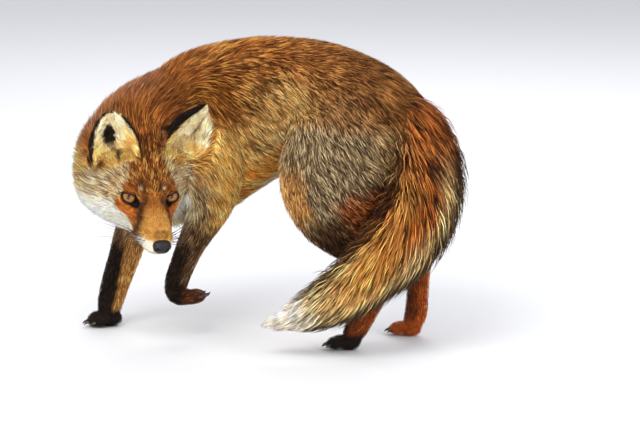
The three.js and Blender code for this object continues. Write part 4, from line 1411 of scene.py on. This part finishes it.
def hair_finish(name, roughness=0.55):
    """Hair: its colour runs along each tuft as an attribute; a fine grain breaks it up."""
    f = Finish(name, Roughness=roughness, Specular_IOR_Level=0.15)
    colour = f.node("Attribute", {"attribute_name": "hair"}, output="Color")
    grain = f.noise(900.0, 2.0)
    return f.set(Base_Color=f.tint(colour, grain * 0.5 + 0.75), Roughness=grain * 0.2 + (roughness - 0.1))


HAIR = hair_finish("coat_hair")


def skin_finish():
    """The undercoat seen between the tufts: the coat's colour, darker as painted shade under the tufts,
    with a fine woolly bump.
    """
    f = Finish("undercoat", Roughness=0.85, Specular_IOR_Level=0.2)
    colour = f.node("Attribute", {"attribute_name": "hair"}, output="Color")
    grain = f.noise(420.0, 4.0)
    wool = f.node("Bump", Height=grain, Strength=0.5, Distance=0.0015)
    return f.set(Base_Color=f.tint(colour, grain * 0.9 + 0.5), Normal=wool, Roughness=grain * 0.3 + 0.6)


UNDERCOAT = skin_finish()

# ------------------------------------------------------------------ the skin as a piece

GAIN = np.array([1.5, 1.42, 1.1])  # hairs shade each other, so each is lighter than the coat looks


def set_colour(mesh, colours):
    """Keeps one linear colour a point on the mesh, as the attribute the finishes read."""
    layer = mesh.color_attributes.new("hair", "FLOAT_COLOR", "POINT")
    rgba = np.ones((len(colours), 4), np.float32)
    rgba[:, :3] = np.clip(colours, 0, 1)
    layer.data.foreach_set("color", rgba.ravel())


skin_mesh = new_mesh("skin", skin_points, skin_faces)
# painted shade: the undercoat is the coat's middle colour, darker where the coat is deeper
under = skin_colours[:, 1] * GAIN * mix(0.4, 0.9, np.clip(1 - skin_depth / 3.0, 0, 1))[:, None]
under = mix(under, SKIN_BLACK[1], lid_black)
set_colour(skin_mesh, under)
skin = new_object("skin", skin_mesh, UNDERCOAT)

bpy.context.view_layer.objects.active = skin
skin.select_set(True)
skin_mesh.uv_layers.new(name="OFBake")
bpy.ops.object.mode_set(mode="EDIT")
bpy.ops.mesh.select_all(action="SELECT")
bpy.ops.uv.smart_project(angle_limit=math.radians(66), island_margin=0.002)
bpy.ops.object.mode_set(mode="OBJECT")
corner_uv = np.empty(len(skin_mesh.loops) * 2, np.float32)
skin_mesh.uv_layers["OFBake"].data.foreach_get("uv", corner_uv)
corner_uv = corner_uv.reshape(-1, 3, 2)

FLESH = [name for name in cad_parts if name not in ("nose", "eye_left", "eye_right")]
finish_piece(skin, "coat_russet", *FLESH)

# ------------------------------------------------------------------ tufts


def onto_skin(points):
    """The nearest places on the skin and the outward directions there, by Blender's Shrinkwrap."""
    found = []
    for mode, offset in (("ON_SURFACE", 0.0), ("ABOVE_SURFACE", 1.0)):
        thing = new_object("probe", new_mesh("probe", points, np.zeros((0, 3), int)))
        wrap = thing.modifiers.new("wrap", "SHRINKWRAP")
        wrap.target, wrap.wrap_method = skin, "NEAREST_SURFACEPOINT"
        wrap.wrap_mode, wrap.offset = mode, offset * MM
        found.append(read_mesh(settled(thing))[0])
    return found[0], unit(found[1] - found[0])


def scatter(weight, count, seed):
    """Random places on the skin, more where weight is higher: face number and three corner shares."""
    rng = np.random.default_rng(seed)
    a, b, c = (skin_points[skin_faces[:, k]] for k in range(3))
    area = np.linalg.norm(np.cross(b - a, c - a), axis=1) / 2 * weight[skin_faces].mean(1)
    heap = np.cumsum(area)
    reached = (np.arange(count) + rng.random(count)) / count * heap[-1]
    face = np.minimum(np.searchsorted(heap, reached), len(heap) - 1)
    u, v = rng.random(count), rng.random(count)
    u, v = np.where(u + v > 1, 1 - u, u), np.where(u + v > 1, 1 - v, v)
    return face, np.stack([1 - u - v, u, v], -1), rng


def surface_path(root, normal, flow, length, heights, stops, lifts):
    """A path that keeps to the skin: at each stop it has gone on along the lie of the coat, is set back
    onto the skin, and is raised by its share of the coat's height."""
    path, way, last, reached = [root - normal * 0.4], flow, root, 0.0
    for stop, high in zip(stops, lifts):
        stride = (length * (stop - reached))[:, None]
        place, up = onto_skin(last + way * stride)
        jumped = np.linalg.norm(place - last, axis=1, keepdims=True) > stride * 1.5 + 2
        place = np.where(jumped, last + way * stride * 0.5, place)
        up = np.where(jumped, normal, up)
        way = unit(way - up * (way * up).sum(1, keepdims=True))
        path.append(place + up * (heights * high)[:, None])
        last, reached = place, stop
    return path


TAIL_WISP = 13.0  # radius of the fan of hair that ends the tail
TAIL_SWEEP = 0.55  # how far the hair turns round the tail towards its outer, lower edge


def tail_path(root, length, reach, curl, stops, lifts):
    """A path in the tail's own measures: along by its length, out from the root's rho towards reach,
    and round towards the lower edge by a sweep that is strongest on the faces; the end hairs fan out."""
    tail = TUBES["tail"]
    q = tail.locate(root)
    speed = np.interp(q["t"], tail.t, tail.speed)
    t = q["t"] + q["rest"] / speed
    start = np.minimum(q["rho"], 0.98)
    angle = np.arctan2(q["out"], q["across"])
    sweep = curl + TAIL_SWEEP * np.sin(angle) * rise(t, 0.08, 0.3) * (1 - 0.6 * rise(t, 0.75, 0.95))
    path = []
    for stop, high in zip([0.0] + list(stops), [0.0] + list(lifts)):
        turn = angle + sweep * stop
        ahead = t + length * stop / speed
        ahead = np.where(ahead > 0.98, 0.98 + (ahead - 0.98) * 0.65, ahead)
        wisp = TAIL_WISP * rise(ahead, 0.7, 0.95) * (1 - 0.8 * rise(ahead, 0.97, 1.08)) * stop
        rho = start + (reach - start) * high
        path.append(tail.point(ahead, np.cos(turn), np.sin(turn), rho, wisp[:, None]))
    return path


def in_an_ear(points):
    """True where points lie in an ear's hollow or just before its mouth."""
    local = to_head(points)
    inside = np.zeros(len(points), bool)
    for ear in EARS:
        h, across, forward, _ = ear_place(local, ear)
        before = forward * ear_sizes(ear, np.clip(h, 0, 1))[1]
        wall = -np.sqrt(np.maximum(1 - across**2, 0))
        edge = np.where(across * ear["side"] < 0, 0.98 + ear["turned_edge"] / 40, 0.98)
        hollow = (h > 0.06) & (h < 1.0) & (np.abs(across) < edge)
        inside |= hollow & (forward > wall - 0.15) & (before < 26)
    return inside


TUFT_PATCH = 0.003


def lean_to_clumps(path, root, flow, length, clump, clump_size, seed, rng):
    """Draws the tips towards the middle of their clump, across the lie more than along it; a clump is the
    tufts whose roots, shaken by a noise, share a cell of a lattice. Gives each tuft's clump number."""
    shake = np.stack([rough_noise(root, clump_size, seed + k) for k in (2, 3, 4)], -1)
    cell = np.floor((root + shake * clump_size * 0.5) / clump_size).astype(np.int64)
    _, member = np.unique((cell[:, 0] * 92821 + cell[:, 1]) * 68917 + cell[:, 2], return_inverse=True)
    size = np.bincount(member)
    middle = np.stack([np.bincount(member, path[-1][:, k]) / size for k in range(3)], -1)[member]
    pull = clump * rng.uniform(0.3, 1.0, (len(root), 1)) * np.clip(length / 25, 0.2, 1)[:, None]
    offset = middle - path[-1]
    offset = offset - flow * (offset * flow).sum(1, keepdims=True) * 0.8
    path[-1] = path[-1] + offset * pull
    if len(path) == 4:
        path[-2] = path[-2] + offset * pull * 0.4
    return member


def spindles(path, normal, half):
    """Closed spindles: a root, rings of three corners about the path, flatter than they are wide and the
    second three quarters of the first, and a tip."""
    points, rings = [path[0]], len(path) - 2
    for k in range(rings):
        ahead = unit(path[k + 2] - path[k])
        up = unit(normal - ahead * (normal * ahead).sum(1, keepdims=True))
        over = np.cross(ahead, up)
        girth = half * (1.0, 0.75)[k]
        for angle in (90, 210, 330):
            a = math.radians(angle)
            wide, high = (math.cos(a) * girth)[:, None], (math.sin(a) * girth * 0.6)[:, None]
            points.append(path[k + 1] + over * wide + up * high)
    points = np.stack(points + [path[-1]], 1)
    points[..., 2] = np.maximum(points[..., 2], 0.15)
    corners, one = points.shape[1], []
    for k in range(3):
        j = (k + 1) % 3
        one.append((0, 1 + j, 1 + k))
        for r in range(rings - 1):
            a, b = 1 + 3 * r + k, 1 + 3 * r + j
            one += [(a, b, b + 3), (a, b + 3, a + 3)]
        one.append((corners - 1, corners - 4 + k, corners - 4 + j))
    faces = (np.arange(len(half))[:, None, None] * corners + np.array(one)).reshape(-1, 3)
    return points.reshape(-1, 3), faces


def hair_colours(here, rings, is_guard, lock, tone, same, contrast, rng):
    """Colours along each tuft: a dark root (darker underfur, and painted shade deep in the coat), its own
    colour, and a tip that is lighter or darker still. A tuft is dark, middle or light by its clump's lot or
    its own, and guard hairs stand out more. A long dark hair may be light until its last third."""
    colours, darks, lights, _, banded = markings(here)
    count = len(is_guard)
    pick = np.where(rng.random(count) < same, lock, rng.random(count))
    kind = np.where(pick < darks, 0, np.where(pick > 1 - lights, 2, 1))
    kind = np.where(is_guard, kind, np.where(rng.random(count) < 0.7, 1, kind))
    middle = colours[:, 1]
    strength = (contrast * np.where(is_guard, 1.25, 0.6))[:, None]
    own = middle + (colours[np.arange(count), kind] - middle) * strength
    brightness = np.exp(tone + rng.normal(0, 0.1, count))[:, None]
    own = np.maximum(own, colours[:, 0] * 0.6) * brightness
    tip = own * np.array([0.6, 1.0, 1.25])[kind][:, None]
    if rings == 2:
        two_tone = ((kind == 0) & (banded > rng.random(count)))[:, None]
        light_part = np.where(two_tone, mix(middle, colours[:, 2], 0.3), own)
        rows = [mix(middle * 0.55, light_part, 0.6), mix(light_part, own, 0.75)]
        tip = np.where(two_tone, own * 0.35, tip)
    else:
        rows = [mix(middle * 0.5, own, 0.75)]
    # the root at a third of the middle colour, and the darker first ring: darker underfur and painted shade
    # deep in the coat
    return np.stack([middle * 0.3] + [row for row in rows for _ in range(3)] + [tip], 1) * GAIN


def tuft_patches(face, share, rings):
    """Each tuft is a small patch at its root's place on the skin's unwrap."""
    spot = np.einsum("nk,nkc->nc", share, corner_uv[face])
    plan = [(0.0, 0.0)]
    for r in range(rings):
        v = (r + 1) / (rings + 1)
        plan += [(0.0, v + 0.06), (-0.5, v), (0.5, v)]
    plan.append((0.0, 1.0))
    return (spot[:, None] + (np.array(plan) - [0, 0.5]) * TUFT_PATCH).reshape(-1, 2)


def grow(name, slot, weight, count, seed, wide=1.3, lifts=(0.55, 0.95), clump=0.35, clump_size=12.0,
         rings=1, sway=0.12, guard=0.5, contrast=1.15, stray=0.1, same=0.4, wave=0.0):
    """Tufts over a part of the skin. Each is a closed spindle from its root, along the lie of the coat,
    to a tip near the coat's depth; each ring on the way has three corners about the path, and the tip
    leans towards the middle of its clump. Guard hairs are longer and dark or light; the rest is wool."""
    face, share, rng = scatter(weight, count, seed)

    def at(values):
        """What the skin's points carry, at the tufts' roots."""
        return np.einsum("nk,nk...->n...", share, values[skin_faces[face]])

    root, normal, flow = at(skin_points), unit(at(skin_normals)), unit(at(skin_flow))
    is_guard = rng.random(count) < guard
    length = at(skin_length) * rng.uniform(0.75, 1.2, count) * np.where(is_guard, 1.05, 0.8)
    depth = at(skin_depth)
    side = np.cross(normal, flow)
    curl = rough_noise(root, 30, seed + 1) * 0.35 + rough_noise(root, 10, seed + 5) * wave
    curl = curl + rng.normal(0, sway, count)
    flow = unit(flow + side * curl[:, None])
    tall = np.where(is_guard, rng.uniform(0.8, 1.05, count), rng.uniform(0.55, 0.85, count))
    tall = tall + (rng.random(count) < stray) * rng.uniform(0.05, 0.25, count)
    stops = [0.45, 1.0] if rings == 1 else [0.3, 0.66, 1.0]
    lifts = list(lifts) if rings == 1 else [lifts[0] * 0.7, (lifts[0] + lifts[1]) / 1.95, lifts[1]]
    if name == "fur_tail":
        path = tail_path(root, length, tall + 0.05, curl * 0.5, stops, lifts)
    else:
        path = surface_path(root, normal, flow, length, depth * tall, stops, lifts)
        off_ear = (at(survey.ear) < 0.25) & (np.linalg.norm(to_head(root), axis=1) < 220)
        hidden = off_ear & (in_an_ear(path[-1]) | in_an_ear(path[1]))
        shorter = np.where(hidden, 0.5, 1.0)[:, None]
        path = [path[0]] + [root + (place - root) * shorter for place in path[1:]]
    member = lean_to_clumps(path, root, flow, length, clump, clump_size, seed, rng)
    clumps = member.max() + 1
    lock, tone = rng.random(clumps)[member], rng.normal(0, 0.16, clumps)[member]
    here = Survey(path[-2] * 0.6 + path[-1] * 0.4 if rings == 1 else path[-2], normal)
    half = wide / 2 * rng.uniform(0.7, 1.3, count) * np.clip(length / 14, 0.4, 1.0)
    points, faces = spindles(path, normal, half * np.where(is_guard, 1.0, 0.8))
    hair = hair_colours(here, rings, is_guard, lock, tone * contrast, same, contrast, rng)
    mesh = new_mesh(name, points, faces)
    set_colour(mesh, hair.reshape(-1, 3))
    uv = tuft_patches(face, share, rings)
    layer = mesh.uv_layers.new(name="OFBake")
    layer.data.foreach_set("uv", uv[faces.ravel()].astype(np.float32).ravel())
    return finish_piece(new_object(name, mesh, HAIR), slot)


def near(*names):
    """How near each point of the skin is to the named parts together."""
    return sum(survey.share[name] for name in names)


MANY = 31000
bare = 1 - np.clip(lid_black * 1.5, 0, 1)
trunk_t = survey.at["trunk"]["t"]
shoulder = rise(trunk_t, 0.44, 0.48)
breast = rise(trunk_t, 0.8, 0.86)
ahead_of = survey.local[:, 0]
face_part = survey.head * bare * rise(ahead_of, -48, -40) * (1 - survey.ear)
cheek_part = survey.head * (1 - rise(ahead_of, -48, -40) * (1 - survey.ear))
grow("fur_face", "face", face_part * (1 + 1.5 * rise(ahead_of, -30, 10)), MANY, 11, wide=0.95,
     clump=0.2, clump_size=5, lifts=(0.5, 0.85))
grow("fur_cheeks_ears", "face", cheek_part * (1 + 0.8 * survey.ear + 1.5 * survey.ear_foot), MANY, 18,
     wide=1.1, clump=0.3, clump_size=8)
grow("fur_neck", "coat_russet", near("neck") + near("trunk") * breast, MANY, 12, wide=1.3, wave=0.35)
grow("fur_shoulder", "coat_russet", near("trunk") * shoulder * (1 - breast), MANY, 13, wide=1.3,
     wave=0.5, clump=0.45, clump_size=9)
grow("fur_back", "coat_russet", near("trunk") * (1 - shoulder), MANY, 14, wide=1.3, wave=0.5,
     clump=0.45, clump_size=9)
grow("fur_thighs", "coat_grizzled", near("hind_left", "hind_right"), MANY, 15, wide=1.15,
     clump_size=8, same=0.25, wave=0.6, contrast=0.95)
grow("fur_tail", "brush", near("tail"), MANY // 2, 16, rings=2, wide=1.7, clump=0.5, clump_size=14,
     lifts=(0.6, 1.0), guard=0.75, stray=0.35)
grow("fur_legs", "stocking_black", near("fore_left", "fore_right", "foot_left", "foot_right") + survey.paw,
     MANY, 17, wide=1.1, clump=0.2, clump_size=8)

# ------------------------------------------------------------------ eyes and nose


def eye_finish():
    """A wet eyeball: its colours come as an attribute, a fine grain breaks them up, and a film shines."""
    f = Finish("eye_amber", Roughness=0.12, Specular_IOR_Level=0.2, Coat_Roughness=0.04, Coat_Weight=0.12)
    colour = f.node("Attribute", {"attribute_name": "hair"}, output="Color")
    grain = f.noise(1500.0, 2.0)
    return f.set(Base_Color=f.tint(colour, grain * 0.4 + 0.8))


EYE_FINISH = eye_finish()
TOWARDS_VIEWER = np.array([0.72, -0.34, 0.60])  # head-local
IRIS_DARK, IRIS_LIGHT, IRIS_RIM, IRIS_INNER = (
    shade(104, 64, 30), shade(164, 114, 62), shade(52, 28, 14), shade(90, 48, 22)
)
PUPIL, EYE_BROWN = shade(6, 4, 4), shade(25, 14, 10)


def make_eye(side):
    """A sphere whose pole is the middle of the iris; rings near the pole carry an amber iris with dark
    fibres and rim, and the upper lid's painted shadow over its upper part, round an upright oval pupil."""
    centre, _, _, out = eye_frame(side)
    gaze = unit(0.8 * TOWARDS_VIEWER + 0.2 * out)
    level = unit(np.cross(gaze, [0, 0, 1.0]))
    rings, sides = 80, 128
    v = np.linspace(0, 1, rings + 2)[1:-1] ** 1.4 * np.pi
    u = np.linspace(0, 2 * np.pi, sides, endpoint=False)
    over = np.cross(level, gaze)
    grid = (
        gaze * np.cos(v)[:, None, None]
        + (level * np.cos(u)[:, None] + over * np.sin(u)[:, None]) * np.sin(v)[:, None, None]
    )
    x = grid @ level * EYE_RADIUS
    y = grid @ over * EYE_RADIUS
    r = np.hypot(x, y)
    front = np.cos(v)[:, None] > 0
    ring = np.stack([np.cos(u) * 9, np.sin(u) * 9, 0 * u], -1)
    fibres = noise(ring, 0.6, 5)[None] * 0.6 + noise(ring, 0.25, 6)[None] * 0.4
    iris = IRIS_DARK + (IRIS_LIGHT - IRIS_DARK) * fibres[..., None] * 1.3
    iris = mix(iris, IRIS_RIM, bump(r, 9.2, 1.6))
    iris = mix(iris, IRIS_INNER, bump(r, 2.6, 1.4) * 0.6)
    # painted shadow of the upper lid: the iris is darkened towards its top
    iris = iris * (1 - 0.55 * rise(y * np.sign(over[2]), 1.5, 6.5))[..., None]
    pupil = fall(np.hypot(x / 1.7, y / 3.6), 0.8, 1.15)
    colour = mix(iris, PUPIL, pupil)
    colour = mix(colour, EYE_BROWN, np.where(front, rise(r, 9.0, 9.6), 1.0))
    grid_points = in_head(centre + grid.reshape(-1, 3) * EYE_RADIUS).reshape(grid.shape)
    points, faces = closed_grid(grid_points)
    colour = np.vstack([colour.reshape(-1, 3), PUPIL, EYE_BROWN])
    name = "eyeball_left" if side > 0 else "eyeball_right"
    mesh = new_mesh(name, points, faces)
    set_colour(mesh, colour)
    local = to_head(points) - centre
    angle = np.arctan2(local @ over, local @ level)
    reach = np.arccos(np.clip(unit(local) @ gaze, -1, 1)) / np.pi * 0.48
    uv = np.stack([0.5 + reach * np.cos(angle), 0.5 + reach * np.sin(angle)], -1)
    layer = mesh.uv_layers.new(name="OFBake")
    layer.data.foreach_set("uv", uv[faces.ravel()].astype(np.float32).ravel())
    return finish_piece(new_object(name, mesh, EYE_FINISH), "eye", "eye_left" if side > 0 else "eye_right")


make_eye(-1)
make_eye(1)


def nose_finish():
    """Black leather whose pebbles are the distance from scattered points, as bumps."""
    f = Finish("nose_leather", Roughness=0.38, Base_Color=(0.007, 0.006, 0.006, 1), Specular_IOR_Level=0.35)
    pebbles = f.node("TexVoronoi", {"feature": "F1"}, output="Distance", Vector=f.place(), Scale=900.0)
    grain = f.node("Bump", Height=pebbles, Strength=0.5, Distance=0.0004)
    return f.set(Normal=grain, Roughness=pebbles * 0.3 + 0.3)


NOSE_CENTRE = np.array([79.0, 0, -25.5])  # head-local


def make_nose():
    """A rounded pad (a superellipsoid), wider above, with two comma-shaped nostrils and a groove below
    pressed into it as bells."""
    points, faces = ball((0, 0, 0), (1, 1, 1), 0, 110, 150)
    d = unit(points)
    x, y, z = d.T
    boxy = (np.abs(y) ** 2.6 + np.abs(z) ** 2.6 + np.abs(x) ** 2.2) ** (-1 / 2.5)
    half = np.stack([8.4 + 0 * x, 12.6 * (1 + 0.12 * z), 9.6 + 0 * z], -1)
    shape = d * half * boxy[:, None]
    for side in (-1, 1):
        a, b = y * side - 0.50, z + 0.02
        hole = np.exp(-((a / 0.17) ** 2 + (b / 0.20) ** 2))
        slit = np.exp(-(((y * side - 0.74) / 0.14) ** 2 + ((z + 0.28) / 0.10) ** 2))
        hole = hole + 0.8 * slit
        shape[:, 0] -= np.clip(hole, 0, 1) * rise(x, 0.0, 0.3) * 5.0
        shape += d * (0.7 * bump(np.hypot(a / 1.2, b), 0.34, 0.10) * rise(x, 0.1, 0.4))[:, None]
    shape[:, 0] -= np.exp(-((y / 0.05) ** 2)) * (x > 0) * rise(-z, -0.1, 0.4) * 1.4
    mesh = new_mesh("nose_pad", in_head(NOSE_CENTRE + shape), faces)
    return finish_piece(new_object("nose_pad", mesh, nose_finish()), "nose", "nose")


make_nose()

# ------------------------------------------------------------------ whiskers and claws


def horn(path, radius, sides):
    """A round tapering rod along a path: rings of the given radii square to the path's own direction."""
    ahead = unit(np.gradient(path, axis=0))
    over = unit(np.cross(ahead, [0.12, 0.23, 0.96]))
    up = np.cross(over, ahead)
    u = np.linspace(0, 2 * np.pi, sides, endpoint=False)
    ring = over[:, None] * np.cos(u)[None, :, None] + up[:, None] * np.sin(u)[None, :, None]
    return closed_grid(path[:, None] + ring * radius[:, None, None])


def horn_finish(name, colour, roughness):
    """Horn of one colour, lighter and darker by a noise, with fine streaks as bumps."""
    f = Finish(name, Roughness=roughness)
    grain = f.noise(600.0, 3.0)
    streaks = f.node("Bump", Height=f.noise(2400.0, 2.0), Strength=0.3, Distance=0.0002)
    return f.set(Base_Color=f.tint(colour, grain * 0.8 + 0.6), Normal=streaks)


BROW_WHISKER = 26  # length of the hairs above an eye


def make_whiskers():
    """Stiff tapering hairs in four rows on each lip, bowed back and down, and two above each eye:
    root + way * s + bow * s^2, s running along the hair."""
    rng = np.random.default_rng(31)
    parts = []
    s = np.linspace(0, 1, 14)[:, None]

    def hair(root, way, long, bow, thick, tip):
        """Adds one hair; its radius falls from thick + tip at the root to tip."""
        parts.append(horn(in_head(root + way * long * s + bow * s**2), thick * (1 - s[:, 0]) + tip, 5))

    for side in (-1, 1):
        for row, column in [(r, c) for r in range(4) for c in range(3)]:
            root = np.array([64 - 7 * column - 1.5 * row, side * (17.5 + 1.6 * column), -27.5 - 3.2 * row])
            way = unit([-0.10 - 0.28 * column, side * 1.0, 0.20 - 0.22 * row] + rng.normal(0, 0.07, 3))
            long = 38 + 13 * column + rng.uniform(-5, 5)
            bow = np.array([-0.34, side * -0.06, -0.26]) * long * rng.uniform(0.7, 1.2)
            hair(root, way, long, bow, 0.42, 0.07)
        for k in range(3):
            root = np.array([0.0, side * (16 + 2.4 * k), 17 - 0.5 * k])
            way = unit([-0.15, side * (0.25 + 0.25 * k), 1.0])
            bow = np.array([-0.45, side * 0.12, -0.1]) * BROW_WHISKER
            hair(root, way, BROW_WHISKER, bow, 0.26, 0.06)
    finish = horn_finish("whisker_hair", (0.035, 0.02, 0.015), 0.4)
    return finish_piece(new_object("whiskers", new_mesh("whiskers", *joined(parts)), finish), "face")


def make_claws():
    """One curved claw from the end of each toe: along and down a quarter bow, tapering to a blunt point."""
    parts = []
    s = np.linspace(0, 1, 12)
    for paw in PAWS.values():
        length, width, height = (paw["size"][k] for k in ("length", "width", "height"))
        rows, origin = paw_matrix(paw)
        toe = width / TOES_ACROSS
        for place, reach, turn in TOES:
            a = math.radians(turn)
            start = np.array([length * (reach + 0.11), place * toe * TOE_GAP, height * 0.36])
            along = 7.5 * np.sin(s * 1.25) / math.sin(1.25)
            drop = -5.0 * (1 - np.cos(s * 1.35))
            path = start + np.stack([along * math.cos(a), along * math.sin(a), drop], -1)
            parts.append(horn(path @ rows + origin, 1.75 * (1 - s**1.6) + 0.35, 10))
    points, faces = joined(parts)
    points[:, 2] = np.maximum(points[:, 2], 0.2)
    finish = horn_finish("claw_horn", (0.035, 0.027, 0.022), 0.35)
    return finish_piece(new_object("claws", new_mesh("claws", points, faces), finish), "stocking_black")


make_whiskers()
make_claws()

# ------------------------------------------------------------------ floor, light and camera

floor_mesh = bpy.data.meshes.new("floor")
FAR = 6.0  # metres from the middle of the floor to its edges
floor_mesh.from_pydata([(-FAR, -FAR, 0), (FAR, -FAR, 0), (FAR, FAR, 0), (-FAR, FAR, 0)], [], [(0, 1, 2, 3)])
floor_finish = Finish("pale_floor", Roughness=0.9, Base_Color=(0.80, 0.80, 0.81, 1))
floor = new_object("floor", floor_mesh, floor_finish.material)


def soft_light(name, at, aim, width, height, power, colour=(1, 1, 1)):
    """A soft square lamp at a place, turned towards its aim; metres and watts."""
    data = bpy.data.lights.new(name, "AREA")
    data.shape, data.size, data.size_y, data.energy, data.color = "RECTANGLE", width, height, power, colour
    lamp = bpy.data.objects.new(name, data)
    bpy.context.scene.collection.objects.link(lamp)
    lamp.location = at
    lamp.rotation_euler = (Vector(aim) - Vector(at)).to_track_quat("-Z", "Y").to_euler()
    return lamp


soft_light("key", (-0.9, -2.0, 2.4), (0, 0, 0.2), 1.8, 1.4, 60, (1.0, 0.99, 0.97))
soft_light("fill", (2.0, -1.4, 1.6), (0, 0, 0.2), 1.6, 1.4, 22)
soft_light("low_fill", (-0.4, -2.3, 0.25), (0, 0, 0.15), 2.2, 0.5, 22)
soft_light("rim", (0.4, 2.2, 2.0), (0, 0, 0.3), 1.8, 1.0, 30, (0.97, 0.98, 1.0))
world = bpy.data.worlds.new("studio")
world.use_nodes = True
background = world.node_tree.nodes["Background"].inputs
background["Color"].default_value = (0.93, 0.95, 1.0, 1)
background["Strength"].default_value = 0.75
bpy.context.scene.world = world
bpy.context.scene.view_settings.view_transform = "Standard"

CAMERA_DISTANCE, CAMERA_DOWN, CAMERA_AIM = 5000.0, 11.0, np.array([0, 0, 177.0])
SENSOR, PICTURE_WIDTH = 36.0, 640
PIXEL = 1.42  # millimetres at the aim to one pixel of the picture's width
down = math.radians(CAMERA_DOWN)
way = np.array([0, math.cos(down), -math.sin(down)])
camera_data = bpy.data.cameras.new("camera")
camera_data.sensor_width = SENSOR
camera_data.lens = SENSOR * CAMERA_DISTANCE / (PICTURE_WIDTH * PIXEL)
camera_data.clip_start, camera_data.clip_end = 0.1, 60.0
camera = bpy.data.objects.new("camera", camera_data)
bpy.context.scene.collection.objects.link(camera)
camera.location = (CAMERA_AIM - way * CAMERA_DISTANCE + SHIFT) * MM
camera.rotation_euler = Vector(way).to_track_quat("-Z", "Y").to_euler()
bpy.context.scene.camera = camera
